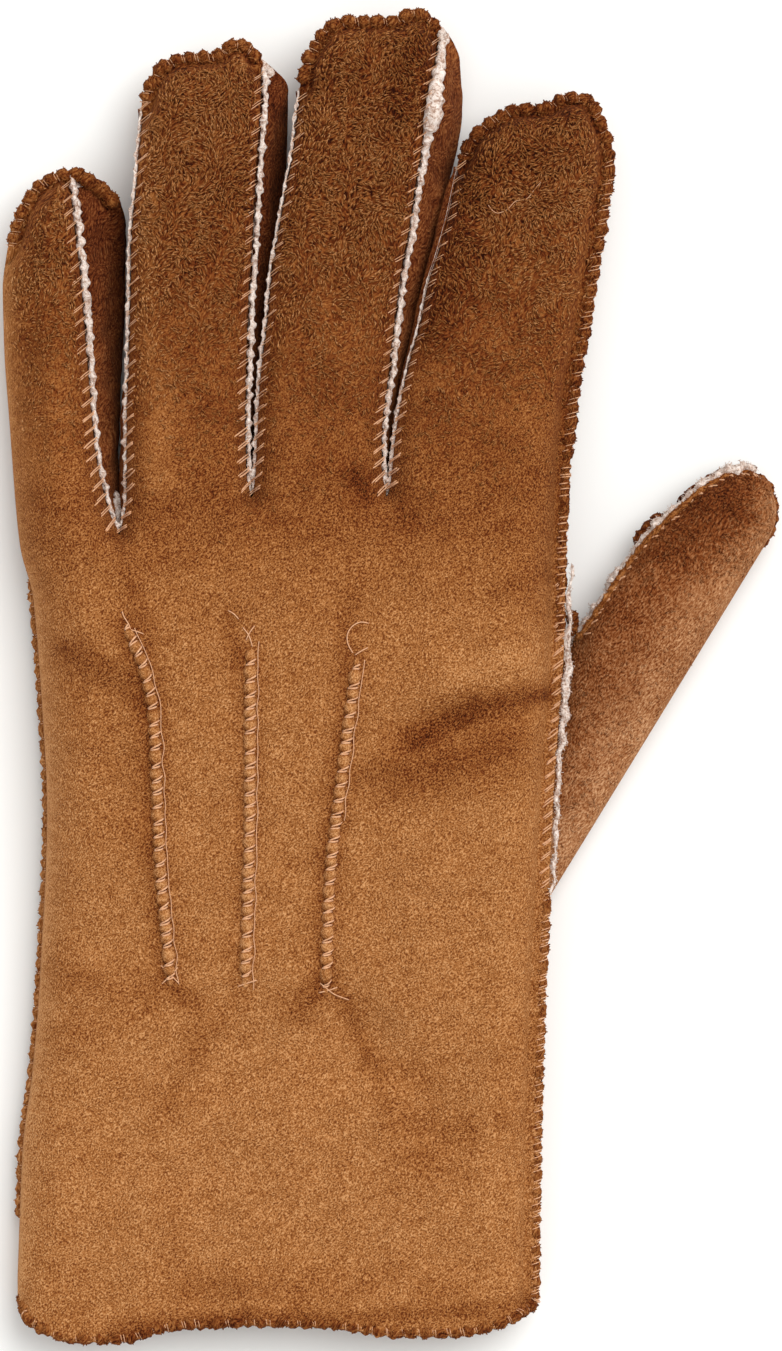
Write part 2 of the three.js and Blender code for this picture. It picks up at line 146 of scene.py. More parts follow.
# Outline of the hand, up the glove: y and x
foldLine = [
    (-114.4, -72.4), (-90, -71.4), (-76, -69.6), (-57, -68.1), (-26, -66.8), (-7, -67.7), (14, -69.4),
    (28, -71.3), (47, -72.8), (63, -73.9), (73, -74.1), (81.3, -73.0),
]
outseamLine = [
    (-119, 28.1), (-100, 28.3), (-62, 29.3), (-35, 30.7), (-20, 31.5), (6, 33.3), (22, 33.6), (33, 34.0),
    (54, 35.8), (66, 37.9), (77, 39.6), (88, 41.4), (97.5, 42.5), (101, 42.4),
]
# Hem of the cuff, across it: x and y
hemLine = [
    (-72.4, -114.4), (-71.1, -120.6), (-66.9, -124.8), (-60.2, -127.1), (-50.4, -126.9), (-43, -124.8),
    (-27, -123.9), (-12, -124.3), (1.5, -125.8), (13, -125.8), (22.4, -123.3), (27, -120.4), (28.1, -119),
]
# Lines of the three tucks, from the hem to the crotches between the fingers: y and x
tuckLines = [
    [(-127, -40), (-60, -42), (-36, -44), (-8, -45.2), (1, -47), (10, -50.4), (26.8, -51.7)],
    [(-127, -28.5), (-60, -27.8), (-25, -27), (6, -26.8), (33.8, -26.6)],
    [(-127, -15), (-60, -12.6), (-40, -11.9), (-17, -9.2), (3.4, -6.5), (34, -0.9)],
]
crotches = [(-71.2, 24), (-51.7, 26.8), (-26.6, 33.8), (-0.9, 34), (34, 32.5)]

# Sides of the fingers from crotch to tip: y, then x of the back panel's edge and of the palm panel's
littleRight = [
    (26.8, -51.7, -51.7), (34.8, -54, -52.9), (42.4, -55.5, -52.8), (52, -56.4, -52), (61.4, -57.2, -51.4),
    (73, -58.1, -50.9), (86, -59.6, -50.8), (90, -60.1, -52), (93.5, -60.7, -55.5), (96.3, -61.2, -61.2),
]
ringLeft = [
    (26.8, -51.7, -51.7), (33.8, -50.9, -50), (48, -50.9, -48.4), (59.5, -50.4, -47.6), (71, -50.1, -47.1),
    (82, -49.9, -46.9), (94, -48.8, -46.2), (101, -48.3, -46.4), (109, -47.5, -47.5),
]
ringRight = [
    (33.8, -26.6, -26.6), (48, -27, -25.6), (59.5, -26.8, -24.2), (71, -26.4, -22.8), (82, -25.7, -21.2),
    (94, -25.1, -20.3), (101, -24.6, -20), (110.4, -24, -19.8), (113.4, -24.1, -21.1), (116.9, -24.7, -24.7),
]
middleLeft = [
    (33.8, -26.6, -26.6), (44, -26.2, -24.6), (56, -25.5, -23), (65, -24.3, -21.6), (76, -23.2, -20.4),
    (84, -21.9, -19.2), (92, -20.5, -18), (99, -19.2, -17), (107, -18.4, -16.9), (112.3, -17.3, -17.3),
]
middleRight = [
    (34, -0.9, -0.9), (44, -1.1, -0.4), (56, 0.1, 1.6), (65, 1.1, 3.8), (76, 2.5, 6.4), (84, 4, 8.6),
    (92, 5.2, 10.4), (99, 6.4, 12.2), (107, 7.4, 13.4), (116.5, 9.1, 12.9), (119.4, 9.4, 12),
    (123.4, 9.4, 9.4),
]
indexLeft = [
    (34, -0.9, -0.9), (42.4, -0.2, 1.4), (51, 1, 2.9), (59, 2.9, 4.9), (66, 4.9, 6.9), (74, 6.5, 8.6),
    (80, 8.4, 10.6), (87, 10.3, 12.2), (93, 11.6, 12.9), (97.9, 12.7, 12.7),
]
# Fingertip seams from their left shoulder to their right one: x and y
littleTip = [(-73, 81.3), (-70.9, 88.9), (-66.9, 94.2), (-61.2, 96.3)]
ringTip = [
    (-47.5, 109), (-46.4, 112.7), (-44.1, 116.1), (-40.3, 117.8), (-33.6, 118.4), (-29.8, 120.8),
    (-27, 119.7), (-24.7, 116.9),
]
middleTip = [
    (-17.3, 112.3), (-16.7, 116.9), (-14.8, 120.3), (-12.4, 123.7), (-8.9, 125), (0.6, 125), (3.8, 126.7),
    (6.8, 125.6), (9.4, 123.4),
]
indexTip = [
    (12.7, 97.9), (14.1, 101.3), (16.7, 104.3), (20, 106.6), (24.3, 108.3), (28.5, 108.3), (33.8, 110.6),
    (38, 110), (40.7, 105.6), (42.4, 101),
]
# Crown of the back above the table and height of the thumb side's seam, up the glove
crown = [
    (-127, 15), (-95, 16), (-60, 18.5), (-25, 22), (5, 24), (28, 23), (50, 21.5), (80, 20), (110, 18.5),
    (127, 17),
]
outseamHeight = [(-127, 8.5), (-60, 11.4), (-42, 12), (20, 12), (127, 11)]

# Folds and dents pressed into the back: x and y of both ends, depth and half width
folds = [
    (32, -5, 4, -10, 2.2, 4.5), (-64, 3, -55, -5, 1.4, 5), (-46, 26, 24, 28, 0.8, 6),
    (-34, -76, 8, -70, 1.1, 7), (8, -84, -8, -64, 1.2, 5),
]
fingerShapes = [
    {"left": foldLine, "right": littleRight, "tip": littleTip, "across": 26},
    {"left": ringLeft, "right": ringRight, "tip": ringTip, "across": 30},
    {"left": middleLeft, "right": middleRight, "tip": middleTip, "across": 32},
    {"left": indexLeft, "right": outseamLine, "tip": indexTip, "across": 38},
]
handLines = [foldLine, *tuckLines, outseamLine]
# How far the suede's cut edge stays behind the fleece's, on the left and the right side of a finger
suedeInset = {"left": 0.35, "right": 0.7}
ruffle = {"inset": 1.1, "low": -104, "high": 22, "height": 4.2, "peek": (1.05, 0.9)}
mesh = {"handRows": 200, "fingerRows": 100, "tipZone": 7.5, "crowding": 0.6}
tipInsets = [6.9, 6.2, 5.5, 4.8, 4.1, 3.5, 2.9, 2.4, 1.9, 1.4, 1.0, 0.6, 0.3, 0]
farFromTip = 1e6


def readCurve(rows, at, column=1):
    # a table's column at some places, on a smooth curve that never overshoots its rows
    table = np.array(rows, float)
    place, value = table[:, 0], table[:, column]
    step = np.diff(place)
    slope = np.diff(value) / step
    product = slope[:-1] * slope[1:]
    total = np.where(product > 0, slope[:-1] + slope[1:], 1)
    inner = np.where(product > 0, 2 * product / total, 0)
    tangent = np.concatenate([slope[:1], inner, slope[-1:]])
    at = np.clip(at, place[0], place[-1])
    i = np.clip(np.searchsorted(place, at, "right") - 1, 0, len(step) - 1)
    t = (at - place[i]) / step[i]
    start = value[i] * (1 + 2 * t) * (1 - t) ** 2 + tangent[i] * step[i] * t * (1 - t) ** 2
    end = value[i + 1] * t * t * (3 - 2 * t) + tangent[i + 1] * step[i] * t * t * (t - 1)
    return start + end


def lineX(line, y, side):
    return readCurve(line, y, 2 if side == "palm" and len(line[0]) == 3 else 1)


def smoothStep(value, low, high):
    t = np.clip((value - low) / (high - low), 0, 1)
    return t * t * (3 - 2 * t)


def between(value, low, high, outside, inside):
    # 1 from low to high, and how far the change to 0 reaches out of that and into it
    rising = smoothStep(value, low - outside, low + inside)
    return rising * (1 - smoothStep(value, high - inside, high + outside))


def bell(distance, width):
    return np.exp(-(distance / width) ** 2)


def unit(vectors):
    return vectors / np.maximum(np.linalg.norm(vectors, axis=-1, keepdims=True), 1e-9)


def leftOf(step):
    return np.stack([-step[:, 1], step[:, 0]], -1)


def wayAlong(points):
    # distance of each point from the first, along the line
    return np.concatenate([[0], np.cumsum(np.linalg.norm(np.diff(points, axis=0), axis=1))])


def turns(sides):
    return 2 * np.pi * np.arange(sides) / sides


def nearestTo(points):
    # gives a function from places to the numbers of the points nearest to them
    tree = KDTree(len(points))
    for i, point in enumerate(points):
        tree.insert(point, i)
    tree.balance()
    return lambda places: np.array([tree.find(place)[1] for place in places])


def wobble(points, wavelength, seed, waves=16):
    # smooth random numbers over points, about 1 in size
    draw = np.random.default_rng(seed)
    points = np.asarray(points, float)
    direction = unit(draw.normal(size=(waves, points.shape[-1])))
    pitch = 2 * np.pi / (wavelength * draw.uniform(0.7, 1.7, waves))
    phase = draw.uniform(0, 2 * np.pi, waves)
    return np.sin(points @ (direction * pitch[:, None]).T + phase).sum(-1) * math.sqrt(2 / waves)


def foldInset(y):
    # the folded side lies behind the ruffled seam that peeks out from under it
    return ruffle["inset"] * (1 - smoothStep(y, 14, 24))


def sharesAcross(count):
    # shares of a width, closer together at its two ends
    t = np.linspace(0, 1, count + 1)
    return t - mesh["crowding"] * np.sin(2 * np.pi * t) / (2 * np.pi)


def distanceTo(points, start, end):
    # distance from a segment
    along = np.subtract(end, start)
    share = np.clip(((points - start) @ along) / max(along @ along, 1e-9), 0, 1)
    return np.linalg.norm(points - (start + share[..., None] * along), axis=-1)


def layOut(side, coarse=1):
    # Plan of one panel: points of the hand and its four fingers, quads between them and the border's kinds
    xy, kind, toTip, quads = [], [], [], []

    def add(x, y, kinds, tips):
        first = len(xy)
        xy.extend(np.stack([x, y], -1).reshape(-1, 2))
        kind.extend(kinds)
        toTip.extend(np.broadcast_to(tips, x.shape).ravel())
        return np.arange(first, first + x.size)

    def join(grid):
        a, b, c, d = grid[:-1, :-1], grid[:-1, 1:], grid[1:, 1:], grid[1:, :-1]
        quads.append(np.stack([a, b, c, d], -1).reshape(-1, 4))

    shares = [sharesAcross(finger["across"] // coarse) for finger in fingerShapes]
    handStrip = np.concatenate([np.full(len(s) - (i > 0), i) for i, s in enumerate(shares)])
    handShare = np.concatenate([s[1:] if i else s for i, s in enumerate(shares)])

    def handX(y):
        lines = np.stack([lineX(line, y, side) for line in handLines])
        lines[0] += foldInset(y)
        lines[-1] -= shell["edgeInset"]
        column = np.arange(len(y))
        left, right = lines[handStrip, column], lines[handStrip + 1, column]
        return left + (right - left) * handShare

    columns = len(handShare)
    hemX = handX(np.full(columns, -127.0))
    hemY = readCurve(hemLine, hemX)
    crotchX = handShare * np.diff([c[0] for c in crotches])[handStrip] + np.array(crotches)[handStrip, 0]
    crotchY = readCurve(crotches, crotchX)
    lastOfStrip = np.cumsum([len(s) - (i > 0) for i, s in enumerate(shares)]) - 1
    rows = []
    for r in range(mesh["handRows"] + 1):
        y = hemY + (crotchY - hemY) * r / mesh["handRows"]
        kinds = [""] * columns
        kinds[0], kinds[-1] = "fold", "outseam"
        if r == 0:
            kinds[1:-1] = ["hem"] * (columns - 2)
        if r == mesh["handRows"]:
            for last in lastOfStrip[:-1]:
                kinds[last] = "slit"
        rows.append(add(handX(y), y, kinds, farFromTip))
    hand = np.array(rows)
    join(hand)

    fingers, first = [], 0
    xy = [tuple(p) for p in xy]
    for i, finger in enumerate(fingerShapes):
        root = hand[-1, first:first + len(shares[i])]
        first += len(shares[i]) - 1
        ends = (finger["tip"][0][0], finger["tip"][-1][0])
        tipY = readCurve(finger["tip"], ends[0] + (ends[1] - ends[0]) * shares[i]) - shell["edgeInset"]
        rootY = np.array([xy[p][1] for p in root])
        rows = [root]
        levels = [("share", s) for s in np.arange(1, mesh["fingerRows"] + 1) / mesh["fingerRows"]]
        for name, value in levels + [("inset", inset) for inset in tipInsets]:
            y = rootY + (tipY - mesh["tipZone"] - rootY) * value if name == "share" else tipY - value
            left, right = lineX(finger["left"], y, side), lineX(finger["right"], y, side)
            left = left + (foldInset(y) if i == 0 else 0)
            right = right - (shell["edgeInset"] if i == 3 else 0)
            if side == "back":
                fromRoot = smoothStep(y - rootY, 0, 4) * smoothStep(tipY - y, -0.01, 3)
                left = left + (suedeInset["left"] * fromRoot if i > 0 else 0)
                right = right - (suedeInset["right"] * fromRoot if i < 3 else 0)
            kinds = [""] * len(root)
            kinds[0], kinds[-1] = "slit" if i > 0 else "fold", "slit" if i < 3 else "outseam"
            if name == "inset" and value == 0:
                kinds = ["tip"] * len(root)
            rows.append(add(left + (right - left) * shares[i], y, kinds, tipY - y))
        fingers.append(np.array(rows))
        join(fingers[-1])
    plan = {"side": side, "xy": np.array(xy), "kind": np.array(kind), "toTip": np.array(toTip)}
    plan.update(quads=np.concatenate(quads), hand=hand, fingers=fingers)
    return plan


def borderOf(quads):
    # directed edges that only one quad uses
    edges = np.concatenate([np.stack([quads[:, i], quads[:, (i + 1) % 4]], -1) for i in range(4)])
    size = quads.max() + 1
    code, back = edges[:, 0] * size + edges[:, 1], edges[:, 1] * size + edges[:, 0]
    return edges[~np.isin(code, back)]


def measure(plan, edges):
    # distance of each point from the nearest seam, that seam's sizes, and the way along it
    xy, kind = plan["xy"], plan["kind"]
    border = borderOf(plan["quads"])
    nextOf = dict(border.tolist())
    start = int(plan["hand"][0, -1])
    loop = [start]
    while nextOf[loop[-1]] != start:
        loop.append(nextOf[loop[-1]])
    plan["loop"] = loop = np.array(loop)
    along = wayAlong(xy[loop])
    # the loop runs up the thumb side, over the fingers, down the fold and back along the hem
    sewn = loop[kind[loop] != "hem"]
    sizes = np.array([edges.get(k, (0, 1, 0)) for k in kind[sewn]], float)
    outseam = kind[sewn] == "outseam"
    sizes[outseam, 0] = readCurve(outseamHeight, xy[sewn[outseam], 1])
    near = 1 - smoothStep(plan["toTip"][sewn], 0, shell["tipBlend"])[:, None]
    lap = 1 - smoothStep(plan["toTip"][sewn], 0, shell["lapBlend"])
    tip = np.array(edges["tip"], float)
    sizes[:, :2] = sizes[:, :2] * (1 - near) + tip[:2] * near
    sizes[:, 2] = sizes[:, 2] * (1 - lap) + tip[2] * lap
    sizes = np.column_stack([sizes, along[kind[loop] != "hem"]])
    level = np.column_stack([xy, np.zeros(len(xy))])
    nearest = nearestTo(level[sewn])(level)
    best = np.full(len(xy), np.inf)
    found = np.zeros((len(xy), 4))
    for step in (-1, 1):
        other = np.clip(nearest + step, 0, len(sewn) - 1)
        a, b = xy[sewn[nearest]], xy[sewn[other]]
        line = b - a
        share = np.clip(((xy - a) * line).sum(1) / np.maximum((line ** 2).sum(1), 1e-9), 0, 1)[:, None]
        distance = np.linalg.norm(xy - (a + line * share), axis=1)
        closer = distance < best
        best[closer] = distance[closer]
        found[closer] = (sizes[nearest] * (1 - share) + sizes[other] * share)[closer]
    plan["inset"], plan["seam"], plan["roll"], plan["flange"], plan["way"] = best, *found.T
    reach = np.clip((best - plan["flange"]) / plan["roll"], 0, 1)
    plan["rise"] = np.sqrt(1 - (1 - reach) ** 2)
    plan["lap"] = np.clip(plan["flange"] / edges["tip"][2], 0, 1)
    plan["border"] = border
    return plan


def normalsOf(vertices, quads):
    normals = np.zeros_like(vertices)
    a, b, c, d = (vertices[quads[:, i]] for i in range(4))
    face = np.cross(c - a, d - b)
    for i in range(4):
        np.add.at(normals, quads[:, i], face)
    return unit(normals)


def inwardOf(plan):
    # direction into the panel, in plan, at its sewn border
    inward = np.zeros((len(plan["xy"]), 2))
    hem = (plan["kind"][plan["border"]] == "hem").any(1)
    a, b = plan["border"][~hem].T
    step = plan["xy"][b] - plan["xy"][a]
    turned = unit(leftOf(step))
    np.add.at(inward, a, turned)
    np.add.at(inward, b, turned)
    return unit(inward)


def pressedAt(xy):
    total = np.zeros(len(xy))
    for x1, y1, x2, y2, depth, width in folds:
        total += depth * bell(distanceTo(xy, (x1, y1), (x2, y2)), width)
    return total


def liningOf(plan, skin, seamZ, upward):
    # inner skin, the wall's thickness in from the outer one, with the fleece's lumps on it
    quads = plan["quads"] if upward else plan["quads"][:, ::-1]
    normals = normalsOf(skin, quads)
    pressed = plan["lap"] * (1 - smoothStep(plan["inset"], plan["flange"], plan["flange"] + 3))
    lumps = sum(high * wobble(skin, wide, 31 + i) for i, (high, wide) in enumerate(shell["liningLumps"]))
    thick = shell["wall"] + (shell["seamWall"] - shell["wall"]) * pressed + lumps * (1 - pressed)
    inner = skin - normals * thick[:, None]
    keep = np.maximum if upward else np.minimum
    inner[:, 2] = keep(inner[:, 2], seamZ)
    rim = np.unique(plan["border"])
    rim = rim[plan["kind"][rim] != "hem"]
    inward = inwardOf(plan)[rim] * (shell["wall"] * (1 - plan["lap"][rim]))[:, None]
    inner[rim] = np.column_stack([plan["xy"][rim] + inward, seamZ[rim]])
    return inner


def shellFaces(quads, border, count):
    # outer skin, inner skin turned over, and the rim between them
    rim = np.stack([border[:, 1], border[:, 0], border[:, 0] + count, border[:, 1] + count], -1)
    return np.concatenate([quads, quads[:, ::-1] + count, rim]), len(quads)


# Nap and painted shade: how dark or light the suede shows, up the glove, then strokes of x and y of both
# ends, width and change
# Up the glove the tone is partly the brushing of the nap and partly painted shade, darker towards the
# fingers; the strokes are partly the nap's tone and partly painted shade in creases and dents
napAndShadeUpGlove = [
    (-125, 0.8), (-100, 0.86), (-60, 0.85), (-20, 0.83), (4, 0.77), (14, 0.7), (22, 0.58), (29, 0.45),
    (37, 0.43), (52, 0.46), (71, 0.52), (90, 0.52), (109, 0.53), (127, 0.5),
]
napAndShadeStrokes = [
    # the crease from the thumb, then beside the tucks: mostly painted shade
    (29, -4, 16, -7, 2.2, -0.56), (16, -7, 4, -13, 3.2, -0.66), (4, -13, -3, -20, 4, -0.3),
    (21, -14, 2, -19, 6, -0.44), (24, -7, 11, -10, 3.4, -0.4), (22, 13, 28, 12, 3, -0.14),
    (28, 3, 12, 1, 4, 0.14), (-62, 4, -54, 1, 2.6, -0.4), (-59, -1, -48, -14, 7, -0.12),
    (-58, 2, -47, -6, 4.5, -0.2), (-55, -12, -48, -32, 5, -0.14), (-50, 20, -46, 4, 2.4, -0.2),
    (-46, 4, -43, -12, 2, -0.12), (-31, 10, -29, 2, 2, -0.24), (-8, 14, -9, 4, 2.4, -0.22),
    # knuckles
    (21, 16, 29, 19, 3, -0.18), (-7, 37, -5, 33, 2.2, -0.35), (2, 34, 3, 29, 3, -0.12),
    # below the tucks
    (-64, -56, -46, -62, 3.5, -0.18), (-46, -61, -63, -70, 4, -0.12), (-42, -58, -37, -64, 2, -0.26),
    (-36, -68, -42, -82, 3, -0.18), (-31, -64, -36, -69, 2.4, -0.18), (-18, -64, -13, -59, 2.6, -0.32),
    (-10, -60, -4, -74, 1.8, -0.3), (-4, -74, 0, -82, 2.4, -0.22), (2, -75, 7, -78, 2, -0.2),
    (3, -86, 14, -87, 4, -0.22), (22, -74, 26, -70, 4, -0.12), (-41, -98, -41, -118, 3, -0.08),
    (5, -92, 7, -92, 5.5, -0.22), (22, -83, 23, -85, 4, -0.12),
    # along the hem
    (-52, -126, -27, -122.5, 2.2, -0.55), (-27, -122.5, -12, -123, 2, -0.4), (8, -119, 10, -119, 4, -0.14),
    (-12, -123, 26, -120, 1.8, -0.28), (-38, -117, -13, -117, 4, -0.16), (2, -113, -6, -117, 2, -0.12),
    # index finger, middle finger, ring finger, little finger
    (15, 100, 9, 66, 5, -0.24), (19, 103, 34, 106, 3.5, -0.2), (18, 107, 27, 111, 1.8, 0.3),
    (18, 97, 30, 98, 5, -0.14), (32, 97, 38, 84, 2.6, 0.12),
    (33, 86, 37, 68, 3, 0.1), (20, 52, 28, 48, 3, 0.08), (28, 74, 29, 74, 4.5, 0.08),
    (5, 120, 1, 107, 3.6, -0.3), (-11, 115, -8, 113, 6, -0.08), (-12, 68, -8, 62, 4, 0.08),
    (-47, 108, -46, 54, 2.4, 0.2), (-35, 101, -34, 101, 4, 0.1), (-31, 92, -30, 92, 3, -0.12),
    (-44, 56, -44, 37, 3.6, 0.26), (-67, 84, -66, 80, 3.2, -0.1), (-66, 67, -66, 63, 3.4, -0.12),
    (-73, 80, -73, 48, 1.8, 0.18), (-70, 46, -69, 36, 3, 0.1), (-60, 80, -58, 70, 2, -0.1),
]
tuckSpans = [(-60, 10), (-60, 6), (-61, 3.5)]  # y of both ends of each tuck
paintedShadeRoundTucks = [0.36, 0.18, 0.32]  # how much painted shade darkens the suede round each
# how wide the painted shade round each tuck reaches, the painted light on the rolled fold and its width, the
# little finger's lighter tone, and random clouds
napLightShadeAndClouds = {"round": 2.6, "paintedFoldLight": 0.42, "foldWidth": 2.2, "paleLittle": 0.09, "clouds": 0.02}


def napAndShadeAt(xy, tuckShadeShare=1):
    # the suede's tone at places: the nap, with painted shade in creases and beside the tucks, and painted
    # light on the rolled fold
    darkest, lightest = np.zeros(len(xy)), np.zeros(len(xy))
    for x1, y1, x2, y2, width, change in napAndShadeStrokes:
        stroke = change * bell(distanceTo(xy, (x1, y1), (x2, y2)), width)
        darkest, lightest = np.minimum(darkest, stroke), np.maximum(lightest, stroke)
    brushed = napLightShadeAndClouds["clouds"] * wobble(xy, 9, 5) + napLightShadeAndClouds["clouds"] * wobble(xy, 4, 6)
    # painted shade beside each tuck's ridge
    paintedTuckShade = np.zeros(len(xy))
    for line, (low, high), depth in zip(tuckLines, tuckSpans, paintedShadeRoundTucks):
        beside = xy[:, 0] - readCurve(line, xy[:, 1]) + 0.7
        paintedTuckShade -= tuckShadeShare * depth * between(xy[:, 1], low, high, 3, 2) * bell(beside, napLightShadeAndClouds["round"])
    little = napLightShadeAndClouds["paleLittle"] * (1 - smoothStep(xy[:, 0], -62, -54)) * smoothStep(xy[:, 1], 22, 40)
    # painted light along the rolled fold, and the little finger a little lighter
    fromFold = xy[:, 0] - readCurve(foldLine, xy[:, 1]) - foldInset(xy[:, 1])
    paintedFoldLightAndPaleLittle = little + napLightShadeAndClouds["paintedFoldLight"] * bell(fromFold, napLightShadeAndClouds["foldWidth"])
    return readCurve(napAndShadeUpGlove, xy[:, 1]) + darkest + lightest + brushed + paintedTuckShade + paintedFoldLightAndPaleLittle


def longAt(xy):
    # length of the nap: short and even on the hand, long and tousled on the fingers
    return smoothStep(xy[:, 1] + 3 * wobble(xy, 14, 8), 24, 95)


def makePiece(name, vertices, faces, materials, slot, inner=0, nap=None, long=None):
    # a piece of vertices in mm; faces after the first "inner" ones take the second material.
    # nap and long are one number, one for each vertex, or one for each vertex of the outer of two skins
    data = bpy.data.meshes.new(name)
    data.from_pydata((np.asarray(vertices) * mm).tolist(), [], [list(f) for f in faces])
    for material in materials:
        data.materials.append(material)
    if inner:
        data.polygons.foreach_set("material_index", (np.arange(len(faces)) >= inner).astype(np.int32))
    data.polygons.foreach_set("use_smooth", np.ones(len(faces), bool))
    for key, values in (("nap", nap), ("long", long)):
        if values is not None:
            layer = data.attributes.new(key, "FLOAT", "POINT")
            layer.data.foreach_set("value", np.resize(np.asarray(values, np.float32), len(vertices)))
    data.update()
    piece = bpy.data.objects.new(name, data)
    bpy.context.scene.collection.objects.link(piece)
    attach(piece, "root")
    return piece


# Faux suede: brushed polyester microfibre on a knit. Its nap scatters light with no gloss, shows light
# fibre tips over a dark ground, and turns darker where it is brushed away from the eye.
suede = {
    "stops": [
        (0, "#280c05"), (0.2, "#54240b"), (0.32, "#673214"), (0.44, "#79431d"), (0.59, "#8e582b"),
        (0.74, "#a06739"), (0.86, "#b07847"), (1, "#c58f5e"),
    ],
    "shaded": [
        (0, "#210703"), (0.2, "#4a1d0b"), (0.32, "#5d2b12"), (0.44, "#703a1c"), (0.59, "#864f29"),
        (0.74, "#995f36"), (0.86, "#a87042"), (1, "#bd875a"),
    ],  # between the fingers: a darker, redder copy that paints the shade in the gaps
    "paler": [
        (0, "#280c05"), (0.2, "#54250d"), (0.32, "#683415"), (0.44, "#7b4522"), (0.59, "#905c37"),
        (0.74, "#a3704a"), (0.86, "#b38159"), (1, "#c89871"),
    ],  # on the thumb: paler and greyer
    "range": (-0.35, 1.35),  # nap values at the ends of those colours
    "rib": (0.24, 2.0),  # mm across and along, the wales of the knit under a short nap, twice as wide as real
    "grain": (0.26, 0.34),  # mm across and along, clumps of fibre tips, coarser than real to show
    "strand": (0.36, 0.85),  # mm, width and length of a tousled strand
    "streak": (1.6, 5.0),  # mm, broad brushed streaks
    "contrast": (1.25, 1.3),  # of the grain, on short and on long nap
    "clouds": 0.3,  # strength of the streaks
    "bump": {"Strength": 0.8, "Distance": 0.0006},
    "look": {
        "Roughness": 0.92, "Specular IOR Level": 0.05, "IOR": 1.5, "Sheen Weight": 0.08,
        "Sheen Roughness": 0.5, "Sheen Tint": toLinear("#c08a60"),
    },
}


def suedeMaterial(name, stops, swirls=9, grains=None):
    material, tree = newMaterial(name)
    at = placeInMm(tree)
    # the nap attribute: the suede's tone, partly its brushing and partly painted shade and painted light
    nap = addNode(tree, "Attribute", attribute_name="nap").outputs["Fac"]
    long = addNode(tree, "Attribute", attribute_name="long").outputs["Fac"]

    def stretched(vector, wide, far, turn, detail):
        turned = addNode(tree, "Mapping", {
            "Vector": vector, "Rotation": (0, 0, math.radians(turn)), "Scale": (far, wide, wide),
        }, vector_type="TEXTURE").outputs[0]
        return addNode(tree, "TexNoise", {
            "Vector": turned, "Scale": 0.9, "Detail": detail, "Roughness": 0.55,
        }).outputs["Fac"]

    wales = stretched(at, *suede["rib"], 90, 1)
    swirl = addNode(tree, "TexNoise", {"Vector": at, "Scale": 0.13, "Detail": 1.5}).outputs["Color"]
    centred = addNode(tree, "VectorMath", {0: swirl, 1: (0.5, 0.5, 0.5)}, operation="SUBTRACT").outputs[0]
    swirled = addNode(tree, "VectorMath", {0: centred, 1: (swirls,) * 3, 2: at}, operation="MULTIPLY_ADD")
    mild = addNode(tree, "VectorMath", {0: centred, 1: (2, 2, 2), 2: at}, operation="MULTIPLY_ADD")
    strand = stretched(swirled.outputs[0], *suede["strand"], 60, 2)
    clumps = stretched(mild.outputs[0], *(grains or suede["grain"]), 50, 1)
    fine = addNode(tree, "Mix", {0: 0.1, 2: clumps, 3: wales}).outputs[0]
    grain = addNode(tree, "Mix", {0: long, 2: fine, 3: strand}).outputs[0]
    sharp = addNode(tree, "MapRange", {
        "Value": grain, "From Min": 0.3, "From Max": 0.7, "To Min": -0.5, "To Max": 0.5,
    }).outputs[0]
    low, high = suede["contrast"]
    contrast = addNode(tree, "MapRange", {"Value": long, "To Min": low, "To Max": high}).outputs[0]
    cloud = stretched(mild.outputs[0], *suede["streak"], 35, 2)
    strong = suede["clouds"]
    clouds = addNode(tree, "Math", {0: cloud, 1: strong, 2: -strong / 2}, operation="MULTIPLY_ADD")
    brushed = addNode(tree, "Math", {0: nap, 1: clouds.outputs[0]}, operation="ADD").outputs[0]
    tone = addNode(tree, "Math", {0: sharp, 1: contrast, 2: brushed}, operation="MULTIPLY_ADD")
    low, high = suede["range"]
    reach = addNode(tree, "MapRange", {"Value": tone.outputs[0], "From Min": low, "From Max": high})
    return finishCloth(material, reach.outputs[0], grain, {**suede, "stops": stops})


# Fleece: curled polyester pile, cut at the seams. Soft lumps, no gloss, warm shadows between the curls.
fleece = {
    "stops": [(0, "#8a6a58"), (0.33, "#bfa18f"), (0.58, "#dfcdc0"), (1, "#f3e8df")],
    "curl": 0.9,  # mm, width of a curl
    "bump": {"Strength": 0.7, "Distance": 0.0007},
    "look": {
        "Roughness": 0.95, "Specular IOR Level": 0.1, "IOR": 1.5, "Sheen Weight": 0.1, "Sheen Roughness": 0.6,
    },
}


def fleeceMaterial(name):
    material, tree = newMaterial(name)
    curl = addNode(tree, "TexNoise", {
        "Vector": placeInMm(tree), "Scale": 1 / fleece["curl"], "Detail": 4, "Roughness": 0.65,
        "Distortion": 1.2,
    }).outputs["Fac"]
    spread = addNode(tree, "MapRange", {"Value": curl, "From Min": 0.3, "From Max": 0.68})
    return finishCloth(material, spread.outputs[0], curl, fleece)


# Sewing thread: two-ply spun polyester, a soft sheen and a fine slanting twist.
thread = {
    "stops": [(0, "#a8704a"), (0.5, "#cf9a70"), (1, "#eec096")],
    "twist": 0.45,  # mm, length of a turn of the ply
    "bump": {"Strength": 0.4, "Distance": 0.0001},
    "look": {"Roughness": 0.6, "Specular IOR Level": 0.3, "IOR": 1.55, "Sheen Weight": 0.2},
}


def threadMaterial(name):
    material, tree = newMaterial(name)
    links = {"Vector": placeInMm(tree), "Scale": 1 / thread["twist"], "Detail": 2}
    ply = addNode(tree, "TexNoise", links).outputs["Fac"]
    return finishCloth(material, ply, ply, thread)


